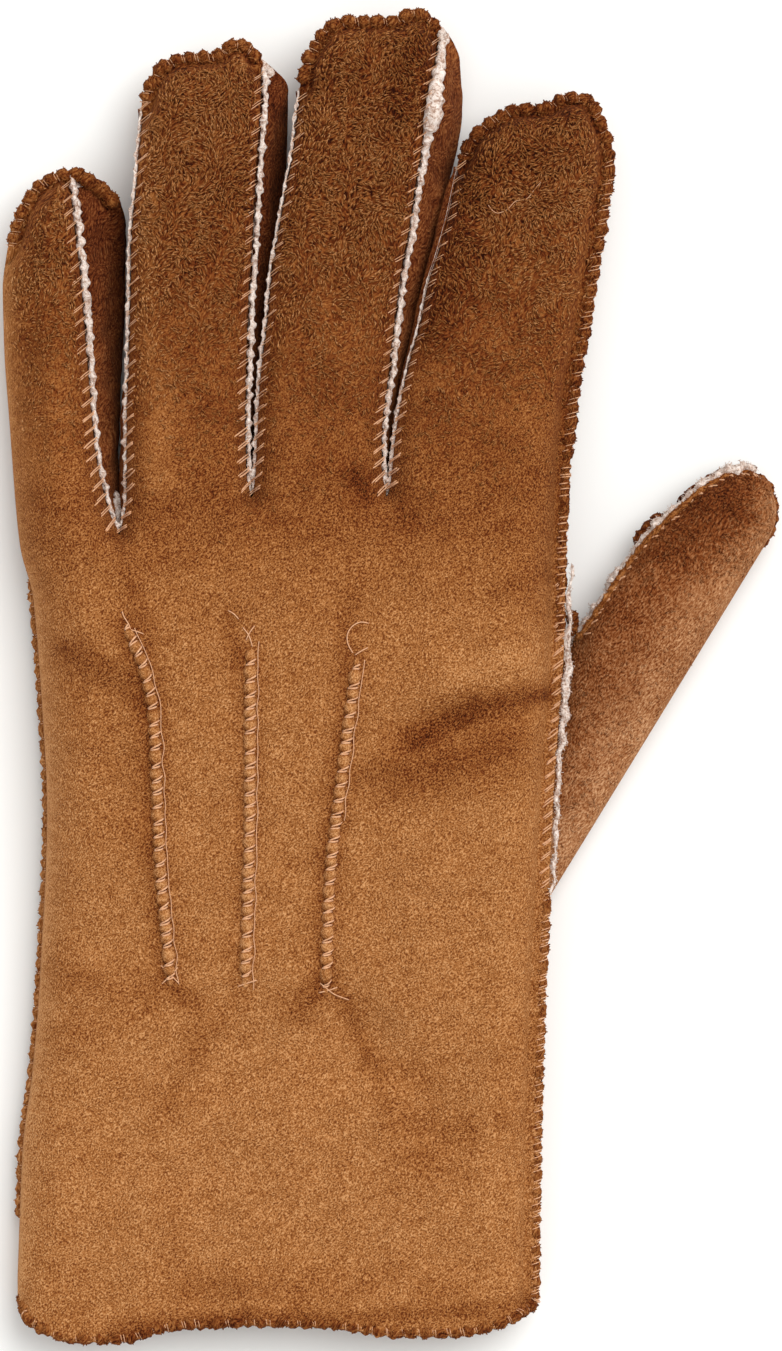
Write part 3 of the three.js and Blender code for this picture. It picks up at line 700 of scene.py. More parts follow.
tanSuede = suedeMaterial("faux_suede_brushed", suede["stops"])
brownSuede = suedeMaterial("faux_suede_shaded_in_the_gaps", suede["shaded"])
thumbSuede = suedeMaterial("faux_suede_paler", suede["paler"], 4, (0.26, 0.5))
creamFleece = fleeceMaterial("polyester_fleece_curled")
tanThread = threadMaterial("spun_polyester_thread")
print("stage: materials")

backPlan = measure(layOut("back"), backEdges)
palmPlan = measure(layOut("palm", 2), palmEdges)
print("stage: plans", len(backPlan["xy"]), len(palmPlan["xy"]))

# Back panel: crowned hand and fingers, with the sewing's puckers along its edges
skins = {}  # outer and inner skin of each panel
back = {"stitch": 2.6, "pucker": 0.3, "ripple": 0.28, "tuckDent": 0.2, "tuckReach": 2.4}
back.update(ground=0.36, pulledDarker=0.16)  # how much darker under long nap and where a stitch pulls


def halfGap(plan):
    # half the gap between the panels at a seam; the fold has none
    return shell["gap"] / 2 * smoothStep(np.abs(plan["seam"] - backEdges["fold"][0]), 0.05, 1)


def backSkin(plan):
    xy = plan["xy"]
    base = plan["seam"] + halfGap(plan) + plan["lap"] * shell["seamWall"]
    ripples = back["ripple"] * (wobble(xy, 26, 11) + 0.5 * wobble(xy, 11, 12)) * plan["rise"]
    top = readCurve(crown, xy[:, 1]) - pressedAt(xy) + ripples
    for line, (low, high) in zip(tuckLines, tuckSpans):
        away = xy[:, 0] - readCurve(line, xy[:, 1])
        top = top - back["tuckDent"] * between(xy[:, 1], low, high, 5, 4) * bell(away, back["tuckReach"])
    pulled = 0.5 + 0.5 * np.cos(2 * np.pi * plan["way"] / back["stitch"])
    pucker = back["pucker"] * pulled * bell(plan["inset"] - 1.2, 1.3)
    plan["pulled"] = pulled * bell(plan["inset"] - 1.5, 0.9)
    return np.column_stack([xy, base + (top - base) * plan["rise"] - pucker])


def buildBack():
    plan = backPlan
    skin = backSkin(plan)
    seamZ = plan["seam"] + halfGap(plan)
    inner = liningOf(plan, skin, seamZ, True)
    faces, outerCount = shellFaces(plan["quads"], plan["border"], len(skin))
    long = longAt(plan["xy"])
    nap = napAndShadeAt(plan["xy"]) - back["pulledDarker"] * plan["pulled"] - back["ground"] * long
    piece = makePiece("back_panel_suede", np.concatenate([skin, inner]), faces.tolist(),
                      [tanSuede, creamFleece], "tan_suede", outerCount, nap, long)
    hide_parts("back_panel")
    skins["back"] = skin, inner
    tree = BVHTree.FromPolygons(skin.tolist(), plan["quads"].tolist())
    return piece, tree


backPiece, backTree = buildBack()
print("stage: back panel")

# Palm panel: flat where it lies, with the same outline outside the gaps
palm = {"ripple": 0.12, "darker": 0.05}


def buildPalm():
    plan = palmPlan
    seamZ = plan["seam"] - halfGap(plan)
    ripples = palm["ripple"] * np.clip(wobble(plan["xy"], 22, 13), 0, 2) * plan["rise"]
    z = (seamZ - plan["lap"] * shell["seamWall"]) * (1 - plan["rise"]) + ripples
    skin = np.column_stack([plan["xy"], z])
    inner = liningOf(plan, skin, seamZ, False)
    quads = plan["quads"][:, ::-1]
    faces, outerCount = shellFaces(quads, plan["border"][:, ::-1], len(skin))
    # its cut edges are suede too, so they come before the lining
    rim = len(faces) - 2 * outerCount
    faces = np.concatenate([faces[:outerCount], faces[-rim:], faces[outerCount:-rim]])
    outerCount += rim
    nap, long = napAndShadeAt(plan["xy"]) - palm["darker"], longAt(plan["xy"])
    piece = makePiece("palm_panel_suede", np.concatenate([skin, inner]), faces.tolist(),
                      [tanSuede, creamFleece], "tan_suede", outerCount, nap, long)
    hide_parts("palm_panel")
    skins["palm"] = skin, inner
    return piece


palmPiece = buildPalm()
print("stage: palm panel")


def evenly(points, spacing):
    # the same line with points a fixed distance apart, and that distance along it
    points = np.asarray(points, float)
    way = wayAlong(points)
    at = np.linspace(0, way[-1], max(int(round(way[-1] / spacing)), 4) + 1)
    return np.stack([np.interp(at, way, points[:, i]) for i in range(points.shape[1])], -1), at


def eased(points, times=2):
    # the same line with its corners rounded
    points = np.array(points, float)
    for _ in range(times):
        points[1:-1] = (points[:-2] + 2 * points[1:-1] + points[2:]) / 4
    return points


def tubes(paths, radii, sides=8, flatten=1.0, reference=up):
    # closed tubes along paths that all have as many points: their vertices and faces
    paths = np.asarray(paths, float)
    count, steps = paths.shape[:2]
    along = unit(np.gradient(paths, axis=1))
    side = unit(np.cross(along, reference))
    lift = np.cross(side, along)
    angle = turns(sides)
    ring = side[:, :, None] * np.cos(angle)[:, None] + lift[:, :, None] * (flatten * np.sin(angle))[:, None]
    skin = paths[:, :, None] + ring * np.broadcast_to(radii, (count, steps, sides))[..., None]
    tube, step, corner = np.ogrid[:count, :steps, :sides]
    index = (tube * steps + step) * sides + corner
    beside = np.roll(index, -1, axis=2)
    walls = np.stack([index[:, :-1], index[:, 1:], beside[:, 1:], beside[:, :-1]], -1).reshape(-1, 4)
    first = count * steps * sides + np.arange(count)[:, None] + np.zeros((1, sides), int)
    starts = np.stack([first, index[:, 0], beside[:, 0]], -1).reshape(-1, 3)
    ends = np.stack([first + count, beside[:, -1], index[:, -1]], -1).reshape(-1, 3)
    vertices = np.concatenate([skin.reshape(-1, 3), paths[:, 0], paths[:, -1]])
    return vertices, walls.tolist() + starts.tolist() + ends.tolist()


def joined(parts):
    # several (vertices, faces) as one
    vertices, faces, first = [], [], 0
    for points, sides in parts:
        vertices.append(points)
        faces += [[i + first for i in face] for face in sides]
        first += len(points)
    return np.concatenate(vertices), faces


def lumpyTube(path, radius, lump, size, seed, sides=12, flatten=1.0, taper=1.2):
    # a soft swollen roll: radius may vary along it, lump is how far and size how wide its swellings are
    way = wayAlong(path)
    ends = np.sqrt(np.clip(np.minimum(way, way[-1] - way) / taper, 0.05, 1))
    angle = turns(sides)
    around = np.stack([np.cos(angle), np.sin(angle)], -1) * size * 0.5
    where = np.concatenate([
        np.repeat(way[:, None, None], sides, 1), np.repeat(around[None], len(way), 0)], -1)
    swell = lump * wobble(where, size, seed) + 0.4 * lump * wobble(where, size * 0.45, seed + 1)
    radii = (np.asarray(radius) * ends)[:, None] * (1 + swell)
    return tubes(path[None], radii[None], sides, flatten)


def heightUnder(tree, xy):
    # height of a surface below each point, and nan beside it
    hits = [tree.ray_cast(Vector((x, y, 60)), Vector((0, 0, -1)))[0] for x, y in xy]
    return np.array([hit.z if hit else np.nan for hit in hits])


def laidOn(tree, xy, lift=0.0):
    z = heightUnder(tree, xy)
    return np.column_stack([xy, z + lift])[~np.isnan(z)]


def threadTubes(paths, thick, end=0.5):
    # threads of nine points each, thinner at their ends; thick is one radius or one for each of them
    taper = np.array([end, 0.9, 1, 1, 1, 1, 1, 0.9, end])
    radii = taper[None, :, None] * np.reshape(thick, (-1, 1, 1))
    return tubes(np.array(paths), radii, 6, reference=np.array((0.3, 1.0, 0.1)))


# Fourchettes, the strips between the fingers: dark suede walls that lean out from under the back's edges
fourchette = {"across": 11, "bulge": 0.9, "bulgeLow": 1.9, "bulgeWide": 2.3, "nap": (0.2, 0.12, 0.34)}
fourchette["flat"] = [(0.0133, 0.15), (0.0129, 0.158), (0.0135, 0.152)]


def buildFourchette(index, name):
    def edgeOf(plan, lift):
        down, rise = plan["fingers"][index][::-1, -1], plan["fingers"][index + 1][1:, 0]
        at = np.concatenate([down, rise])
        at = at[plan["toTip"][at] > 0.9]
        return plan["xy"][at], plan["seam"][at] + lift, plan["lap"][at]

    (topXy, topZ, lap), (lowXy, lowZ, _) = edgeOf(backPlan, -0.3), edgeOf(palmPlan, 0.3)
    halfway = (topZ + lowZ) / 2
    topZ, lowZ = np.maximum(topZ, halfway + 0.1), np.minimum(lowZ, halfway - 0.1)
    # the two sides of a gap swell until they nearly meet at its lower end
    middle = (topXy + lowXy) / 2
    turn = int(np.argmin(topXy[:, 1]))
    gap = np.full(len(middle), 0.6)
    x, y = middle.T
    gap[:turn] = np.interp(y[:turn], y[turn:], x[turn:]) - x[:turn]
    gap[turn + 1:] = x[turn + 1:] - np.interp(-y[turn + 1:], -y[:turn], x[:turn])
    most = fourchette["bulge"] + (fourchette["bulgeLow"] - fourchette["bulge"]) * (1 - smoothStep(y, 48, 66))
    if index == 2:
        most = np.maximum(most, fourchette["bulgeWide"] * (1 - smoothStep(y, 90, 99)))
    bulge = np.clip(0.48 * gap, 0.15, most)[:, None]
    step = np.gradient(topXy, axis=0)
    inward = -unit(leftOf(step))
    rows = []
    thick = np.minimum(shell["stripWall"], 0.8 * shell["wall"] * (1 - lap))[:, None]
    for depth in (0, 1):
        for share in np.linspace(0, 1, fourchette["across"]):
            swollen = bulge * abs(math.sin(math.pi * share)) ** (0.4 if index == 2 else 0.7)
            xy = lowXy * (1 - share) + topXy * share + inward * (depth * thick - swollen)
            rows.append(np.column_stack([xy, lowZ * (1 - share) + topZ * share]))
    rows = np.array(rows)
    rows[:fourchette["across"]] += 0.12 * wobble(rows[:fourchette["across"]], 5, 51 + index)[..., None]
    count, length = fourchette["across"], len(topXy)
    grid = np.arange(count * length).reshape(count, length)
    quads = np.stack([grid[:-1, :-1], grid[1:, :-1], grid[1:, 1:], grid[:-1, 1:]], -1).reshape(-1, 4)
    faces, outer = shellFaces(quads, borderOf(quads), count * length)
    vertices = rows.reshape(-1, 3)
    # the strips' dark tone, with the shaded ramp, is partly painted shade in the gaps
    shade = fourchette["nap"][index] + 0.05 * wobble(vertices, 6, 61 + index)
    # painted light: the lower end of each strip is painted lighter, against the shade deep in the gap
    shade = shade + 0.22 * (1 - smoothStep(vertices[:, 1], 45, 80))
    piece = makePiece(name + "_suede", vertices, faces.tolist(), [brownSuede, creamFleece], "brown_suede",
                      outer, shade, 0.7)
    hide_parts(name)
    return piece


stripNames = ["fourchette_little_ring", "fourchette_ring_middle", "fourchette_middle_index"]
stripPieces = [buildFourchette(i, name) for i, name in enumerate(stripNames)]
print("stage: strips between the fingers")

# Thumb, in its own frame: along its outer fold from the hand, and across from that fold to its seam
thumb = {"root": (30.6, -41.8), "lean": math.radians(31.45), "tip": (88.5, 8.6), "seamInset": 0.8}
thumb.update(sections=110, sides=88, ripple=0.18)
# Its nap along the fold, and how much darker it is inwards and at the tip, and lighter at the root
thumb.update(nap=0.76, inner=0.38, atTip=0.38, atRoot=0.1)
# Rung number, inner along and across, outer along and across, height
thumbRungs = [
    (0, 35.5, 25.9, -3.7, 3.7, 9.4), (1, 41.6, 22.2, 0, 0, 9.8), (2, 44, 22.1, 14, 0, 11),
    (3, 46.5, 22, 28, 0, 12.6), (4, 50.5, 21.9, 42, 0, 13.8), (5, 57, 21.7, 54, 0, 14.3),
    (6, 65, 21.1, 64, 0, 14.2), (7, 73, 19.4, 72, 0, 13.6), (8, 80.5, 17.6, 79.5, 0, 12.4),
    (9, 84.8, 15.7, 84.4, 1.5, 10.8), (10, 87.4, 12.8, 87.4, 4.4, 8.6),
]


def thumbPoint(along, across, z):
    lean = thumb["lean"]
    x = thumb["root"][0] + along * math.sin(lean) - across * math.cos(lean)
    y = thumb["root"][1] + along * math.cos(lean) + across * math.sin(lean)
    return np.stack(np.broadcast_arrays(x, y, z), -1)


def thumbSkin(margin, sections, sides, inset=0.0, mouth=0.0):
    rung = np.concatenate([np.linspace(0, 10, sections), np.full(7, 10.0)])
    cap = np.concatenate([np.zeros(sections), np.arange(1, 8) / 8])
    innerAlong, innerAcross, outerAlong, outerAcross, height = (
        readCurve(thumbRungs, rung, column) for column in range(1, 6))
    innerAcross = innerAcross - inset * (smoothStep(rung, 1.5, 2.6) + 1.5 * smoothStep(rung, 6.5, 9))
    first = (rung == 0) * mouth
    middle = (innerAlong + outerAlong) / 2 - first, (innerAcross + outerAcross) / 2 + first
    half = (innerAlong - outerAlong) / 2, (innerAcross - outerAcross) / 2
    width = np.hypot(*half)
    reach = (width + margin) / width * np.sqrt(1 - cap ** 2)
    angle = turns(sides)
    u = np.sign(np.cos(angle)) * np.abs(np.cos(angle)) ** 0.85
    rounding = np.where(np.sin(angle) > 0, 0.85, 0.5)
    v = np.sign(np.sin(angle)) * np.abs(np.sin(angle)) ** rounding
    along = middle[0][:, None] + (half[0] * reach)[:, None] * u
    along += (cap * (thumb["tip"][0] + margin - thumbRungs[-1][1]))[:, None]
    across = middle[1][:, None] + (half[1] * reach)[:, None] * u
    z = (height / 2)[:, None] + ((height / 2 + margin) * np.sqrt(1 - cap ** 2))[:, None] * v
    skin = thumbPoint(along, across, z)
    count = len(rung)
    grid = np.arange(count * sides).reshape(count, sides)
    beside = np.roll(grid, -1, axis=1)
    quads = np.stack([grid[:-1], beside[:-1], beside[1:], grid[1:]], -1).reshape(-1, 4)[:, ::-1]
    tip = thumbPoint(thumb["tip"][0] + margin, thumb["tip"][1], height[-1] / 2)
    vertices = np.concatenate([skin.reshape(-1, 3), tip[None]])
    fan = np.stack([grid[-1], np.full(sides, len(vertices) - 1), beside[-1]], -1)
    return vertices, quads, fan, grid[0], across.ravel(), along.ravel()


def buildThumb():
    sections, sides = thumb["sections"], thumb["sides"]
    outer, quads, fan, mouth, across, along = thumbSkin(0, sections, sides, thumb["seamInset"])
    outer[:, 2] += thumb["ripple"] * wobble(outer, 12, 71) * (outer[:, 2] > 2)
    inner = thumbSkin(-shell["thumbWall"], sections, sides, thumb["seamInset"])[0]
    count = len(outer)
    skin = quads.tolist() + fan.tolist()
    lining = (quads[:, ::-1] + count).tolist() + (fan[:, ::-1] + count).tolist()
    beside = np.roll(mouth, -1)
    rim = np.stack([mouth, beside, beside + count, mouth + count], -1).tolist()
    along, across = np.append(along, thumb["tip"][0]), np.append(across, thumb["tip"][1])
    nap = thumb["nap"] - thumb["inner"] * smoothStep(across, 2, 15)
    nap -= thumb["atTip"] * smoothStep(along, 60, 80) * smoothStep(across, 1, 8)
    nap += thumb["atRoot"] * (1 - smoothStep(along, 28, 48))
    nap += 0.04 * wobble(outer, 8, 72) + 0.03 * wobble(outer, 4, 73)
    long = 0.2 + 0.55 * smoothStep(along + 3 * wobble(outer, 9, 74), 55, 84)
    faces = [face[::-1] for face in skin + lining + rim]
    piece = makePiece("thumb_suede", np.concatenate([outer, inner]), faces,
                      [thumbSuede, creamFleece], "tan_suede", len(skin), nap, long)
    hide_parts("thumb")
    return piece, outer, faces[:len(skin)], nap


thumbPiece, thumbOuter, thumbFaces, thumbShade = buildThumb()


def openPalm():
    # the palm is cut open where the thumb goes in
    vertices, quads, fan, mouth, _, _ = thumbSkin(shell["gap"], 40, 48, 0, shell["gap"])
    centre = len(vertices)
    vertices = np.concatenate([vertices, vertices[mouth].mean(0)[None]]) * mm
    lid = [[int(b), int(a), centre] for a, b in zip(np.roll(mouth, -1), mouth)]
    space = bpy.data.meshes.new("thumb_space")
    space.from_pydata(vertices.tolist(), [], quads.tolist() + fan.tolist() + lid)
    cutter = bpy.data.objects.new("thumb_space", space)
    bpy.context.scene.collection.objects.link(cutter)
    cut = palmPiece.modifiers.new("thumb_opening", "BOOLEAN")
    cut.operation, cut.solver, cut.object = "DIFFERENCE", "EXACT", cutter
    opened = bpy.data.meshes.new_from_object(palmPiece.evaluated_get(bpy.context.evaluated_depsgraph_get()))
    palmPiece.modifiers.clear()
    palmPiece.data = opened
    bpy.data.objects.remove(cutter)
    print("palm opened:", len(opened.polygons), "faces")


openPalm()
print("stage: thumb")


def stitchPlaces(kinds, low=-200, high=200):
    # where the thread passes over the panel's cut edge: points, and the direction into the panel there
    loop = backPlan["loop"]
    xy, way, inward = backPlan["xy"][loop], backPlan["way"][loop], inwardOf(backPlan)[loop]
    stitch = np.floor(way / back["stitch"])
    sewn = np.isin(backPlan["kind"][loop], kinds)
    at = np.flatnonzero((stitch[1:] > stitch[:-1]) & sewn[1:] & sewn[:-1])
    share = ((stitch[at + 1] * back["stitch"] - way[at]) / (way[at + 1] - way[at]))[:, None]
    places = xy[at] * (1 - share) + xy[at + 1] * share
    kept = (places[:, 1] > low) & (places[:, 1] < high)
    return places[kept], inward[at][kept]


# Fleece that shows along the cut edges, and how wide it is on each side of a gap
edgeFleece = {"left": 0.46, "right": 0.66, "lump": 0.34, "size": 1.5, "step": 0.28, "bound": 0.44}
edgeFleece.update(apart=0.32, wider=(0.2, -0.1, 0), lift=0.5, lowLift=0.3, lowWider=0.36, thinner=0.25)
# The middle finger's edge gapes at its tip: y and extra width
gape = [(92, 0), (99, 0.15), (102.5, 0.5), (105, 1.25), (107.5, 1.2), (111, 0.75), (116, 0.35), (121, 0.1)]
slitStitches, slitInward = stitchPlaces(["slit"])


def slitPath(index):
    # down the right side of a finger, round the crotch and up the left side of the next
    lower, upper = fingerShapes[index]["right"], fingerShapes[index + 1]["left"]
    bottom = lower[0][0]
    down = np.arange(fingerShapes[index]["tip"][-1][1] - 0.8, bottom, -0.5)
    rise = np.arange(bottom, fingerShapes[index + 1]["tip"][0][1] - 0.8, 0.5)
    right = np.column_stack([lineX(lower, down, "back"), down])
    left = np.column_stack([lineX(upper, rise, "back"), rise])
    side = np.concatenate([np.full(len(down), 1.0), np.zeros(len(rise))])
    path, _ = evenly(np.column_stack([np.concatenate([right, left]), side]), edgeFleece["step"])
    return path[:, :2], path[:, 2]


def seamLevel(y, kind, tipY):
    near = 1 - smoothStep(tipY - y, 0, shell["tipBlend"])
    return backEdges[kind][0] * (1 - near) + backEdges["tip"][0] * near


def boundBy(path, stitches):
    # narrower where a stitch holds it
    away = np.min(np.linalg.norm(path[:, None, :2] - stitches[None], axis=-1), axis=1)
    return 1 - edgeFleece["bound"] * bell((away - 0.5).clip(0), 0.5)


def buildSlitFleece(index):
    path, side = slitPath(index)
    tipY = np.where(side > 0.5, fingerShapes[index]["tip"][-1][1], fingerShapes[index + 1]["tip"][0][1])
    z = seamLevel(path[:, 1], "slit", tipY) + edgeFleece["lift"]
    # the two edges of a gap keep apart at its lower end
    low = 1 - smoothStep(path[:, 1], 44, 64)
    z = z + edgeFleece["lowLift"] * low
    path = path + np.column_stack([edgeFleece["apart"] * low * (1 - 2 * side), 0 * low])
    radius = edgeFleece["left"] * (1 + edgeFleece["lowWider"] * low)
    radius = radius + (edgeFleece["right"] - edgeFleece["left"]) * side * (1 - low)
    radius = radius * (1 + edgeFleece["wider"][index] * side * smoothStep(path[:, 1], 52, 84))
    thinner = edgeFleece["thinner"] * smoothStep(path[:, 1], 60, 95)
    if index == 2:  # the index finger's side hardly shows
        thinner = 0.5 * smoothStep(path[:, 1], 48, 60) + 0.4 * smoothStep(path[:, 1], 70, 78)
    radius = radius * boundBy(path, slitStitches) * (1 - thinner * (1 - side))
    if index == 2:
        extra = readCurve(gape, path[:, 1]) * (side > 0.5)
        radius, path = radius + extra, path + np.column_stack([extra * 0.4, extra * 0])
        z = z + 1.3 * extra
    line = eased(np.column_stack([path, z]), 5)
    lump = (edgeFleece["lump"] * np.minimum(1, 0.6 / radius) ** 1.5)[:, None]
    return lumpyTube(line, radius, lump, edgeFleece["size"], 80 + index, flatten=1.25)


# Fleece beside the hand's side seam: y, centre x and radius
sideSeam = {"lift": 1.3, "uneven": 0.16, "lump": (0.26, 2.6)}
sideRows = [
    (-42, 30.4, 0.3), (-37, 30.8, 0.36), (-30, 31.2, 0.36), (-22, 31.5, 0.4), (-12, 32.3, 0.5),
    (-4, 33.0, 0.66), (2, 33.4, 0.62), (8, 33.5, 0.45), (14, 33.8, 0.38), (21, 34.0, 0.28),
]


def sideFleece(seed):
    y = np.arange(sideRows[0][0], sideRows[-1][0], edgeFleece["step"])
    z = readCurve(outseamHeight, y) + sideSeam["lift"]
    line = np.column_stack([readCurve(sideRows, y, 1), y, z])
    radius = readCurve(sideRows, y, 2) * (1 + sideSeam["uneven"] * wobble(y[:, None], 7, seed))
    line[:, 0] += sideSeam["uneven"] * wobble(y[:, None], 6, seed + 2)
    return lumpyTube(line, radius, *sideSeam["lump"], seed + 1, flatten=1.15)


# Fleece along the thumb's seam
thumbRoll = {"radius": 0.76, "uneven": 0.16, "atTip": 0.2, "lump": (0.28, 2.4)}
thumbColumn = np.arange(thumb["sections"] + 7) * thumb["sides"]
innerEdge, outerEdge = thumbOuter[thumbColumn], thumbOuter[thumbColumn + thumb["sides"] // 2]
thumbEnd = thumbOuter[-1:]


def thumbSeam(out, lift, low, high, edge=innerEdge):
    # a line beside the thumb's seam: how far outside it, how high above it, and its two ends along the seam
    line = np.concatenate([edge, thumbEnd])
    outward = leftOf(unit(np.gradient(line[:, :2], axis=0)))
    line = line + np.column_stack([outward * out, np.full(len(line), lift)])
    way = wayAlong(line[:, :2])
    kept = line[(way >= low) & (way <= high)]
    return eased(evenly(kept, edgeFleece["step"])[0], 4)


def thumbFleece():
    line = thumbSeam(0.15, 0.9, 7.5, 200)
    atTip = smoothStep(line[:, 1], 26, 33)
    line[:, :2] += 0.05 * atTip[:, None] * np.array((-0.5, 0.86))
    swell = thumbRoll["radius"] + thumbRoll["uneven"] * wobble(line[:, 1:2], 7, 91)
    return lumpyTube(line, swell + thumbRoll["atTip"] * atTip, *thumbRoll["lump"], 92, flatten=1.2)


def crotchFuzz(points, seed):
    # tousled fleece that fills the lower end of a gap: x, y, z, radius
    rows, _ = evenly(points, edgeFleece["step"])
    return lumpyTube(eased(rows[:, :3], 3), rows[:, 3], 0.4, 1.3, seed)


fuzz = [
    [(-52.6, 34.6, 11.4, 0.7), (-52.2, 32, 12.6, 1.0), (-51.9, 29.4, 13.4, 0.75), (-51.7, 27.6, 13.8, 0.4)],
    [(-26.7, 37.5, 12.6, 0.4), (-26.6, 34.6, 13.6, 0.4)], [(-0.8, 38, 12.6, 0.35), (-0.9, 34.8, 13.6, 0.4)],
]
fleeceParts = [crotchFuzz(points, 96 + i) for i, points in enumerate(fuzz)]
looseFleece = joined([sideFleece(88), thumbFleece()])
fleeceParts += [buildSlitFleece(i) for i in range(3)] + [looseFleece]
fleeceVertices, fleeceFaces = joined(fleeceParts)
fleecePiece = makePiece("fleece_edges", fleeceVertices, fleeceFaces, [creamFleece], "cream_fleece")
print("stage: fleece edges", len(fleeceFaces))

# Stitches over the cut edges between the fingers, two strands at a place, all slanting the same way
sewing = {"thread": 0.14, "apart": 0.42, "slope": 0.8, "inside": 1.7, "outside": 0.5, "outseam": 1.9}
sewing["tight"] = (22, 30, 44, 62), (1, 1.2, 1.1, 0.65)  # y, and thickness as a share of the thread's
underThreads = joined([
    (skins["back"][0], backPlan["quads"].tolist()), (thumbOuter, thumbFaces), (fleeceVertices, fleeceFaces),
])
edgeTree = BVHTree.FromPolygons(underThreads[0].tolist(), underThreads[1])


def seated(path, lift, floor):
    # a thread's path laid on what is under it, and its two ends pushed in
    z = np.fmax(heightUnder(edgeTree, path), floor) + lift
    laid = np.column_stack([path, z])
    laid[:, 2] = np.maximum(z, eased(z[:, None], 2)[:, 0])
    laid[[0, -1], 2] -= 0.25
    return laid


def readThickness(y):
    # the thread lies open low in the gaps and is drawn tight towards the tips
    return sewing["thread"] * np.interp(y, *sewing["tight"])


def slantedStitches(places, inward, slant, inside, seed, level, outside=None):
    # slant is how far along the page or the seam a stitch runs for each mm that it runs into the suede
    draw = np.random.default_rng(seed)
    outside = sewing["outside"] if outside is None else outside
    paths = []
    for place, into, along, depth, floor in zip(places, inward, slant, inside, level):
        step = np.array((-into[1], into[0])) if along[0] or abs(into[0]) < 0.5 else np.array((0.0, 1.0))
        for side in (-0.5, 0.5):
            reach = np.linspace(-outside, depth + draw.normal(0, 0.22), 9)
            bow = 0.1 * draw.normal() * np.sin(np.linspace(0, np.pi, 9)) + draw.normal(0, 0.06)
            shift = along[1] * reach + side * sewing["apart"] + bow
            paths.append(seated(place + reach[:, None] * into + shift[:, None] * step, 0.09, floor))
    thick = np.repeat(readThickness(np.asarray(places)[:, 1]), 2) * draw.uniform(0.7, 1.1, len(paths))
    return threadTubes(paths, thick, 0.55)


def upRight(inward):
    # stitches that all rise to the right of the page, whichever side of a gap they are on
    return np.column_stack([np.zeros(len(inward)), sewing["slope"] * np.sign(inward[:, 0])])


slitLevel = np.where(slitStitches[:, 1] > 84, 11.5, 13.2)
stitchParts = [slantedStitches(slitStitches, slitInward, upRight(slitInward),
                               np.full(len(slitStitches), sewing["inside"]), 180, slitLevel)]
sidePlaces, sideInward = stitchPlaces(["outseam"], -41, 20)
stitchParts.append(slantedStitches(sidePlaces, sideInward, upRight(sideInward),
                                   np.full(len(sidePlaces), sewing["outseam"]), 181,
                                   readCurve(outseamHeight, sidePlaces[:, 1]), 0.1))
seamRow = thumbSeam(-0.2, 0, 10, 200)
seamSteps = int(round(back["stitch"] / edgeFleece["step"]))
seamAlong = unit(np.gradient(seamRow[:, :2], axis=0))[::seamSteps]
seamInward = -leftOf(seamAlong)
count = len(seamAlong)
seamInside = np.interp(np.arange(count), (0, count - 6, count - 1), (1.0, 0.9, 0.6))  # shorter at the tip
stitchParts.append(slantedStitches(seamRow[::seamSteps, :2], seamInward, np.tile((1.0, 1.7), (count, 1)),
                                   seamInside, 182, seamRow[::seamSteps, 2], -0.15))
stitchPiece = makePiece("edge_stitches", *joined(stitchParts), [tanThread], "tan_thread")
print("stage: stitches")

# Overcast seams: the raw edges bound with thread, which gathers them into puffs
overcast = {"puff": 2.85, "half": 1.45, "tall": 1.3, "inset": 0.6, "nap": 0.02, "step": 0.24, "sides": 14}


def puffs(way, pitch, seed):
    # 0 where the thread binds the edge, 1 at the middle of a puff, and the places of the threads
    phase = way / pitch + 0.12 * wobble(way[:, None], pitch * 4, seed)
    swell = np.abs(np.sin(np.pi * phase)) ** 0.6
    bound = np.interp(np.arange(math.ceil(phase[0]), phase[-1]), phase, way)
    return swell, bound


def bandThreads(path, way, radius, bound, flatten, angles, slant, seed, strands, thick, closing=0.0):
    # threads laid over a band at its bound places, closing together at their first end
    draw = np.random.default_rng(seed)
    along = unit(np.gradient(path, axis=0))
    side = unit(np.cross(along, up))
    lift = np.cross(side, along)
    wraps = []
    for place in bound:
        for strand in strands:
            start, end = np.radians(angles) + draw.normal(0, 0.12, 2)
            angle = np.linspace(start, end, 9)
            spread = 1 - closing * np.linspace(1, 0, 9)
            at = place + strand * spread + draw.normal(0, 0.06) + slant * np.linspace(-0.5, 0.5, 9)
            centre, across, above = (
                np.stack([np.interp(at, way, column) for column in line.T], -1)
                for line in (path, side, lift))
            out = np.interp(at, way, radius)[:, None] + 0.05
            turned = across * np.cos(angle)[:, None] + above * flatten * np.sin(angle)[:, None]
            wraps.append(centre + out * turned)
    return threadTubes(wraps, np.full(len(wraps), thick))


def outlinePath(kinds, finger=None):
    # the panel's sewn outline over some kinds of edge, moved inwards, at the seam's height
    loop = backPlan["loop"]
    inward = inwardOf(backPlan)[loop]
    pick = np.isin(backPlan["kind"][loop], kinds)
    xy = backPlan["xy"][loop] + inward * overcast["inset"]
    x = backPlan["xy"][loop][:, 0]
    if finger is not None:
        low, high = finger["tip"][0][0] - 1.5, finger["tip"][-1][0] + 1.5
        pick &= (x > low) & (x < high)
    return np.column_stack([xy, backPlan["seam"][loop] + 0.3])[pick]


bands, bandThread = [], []


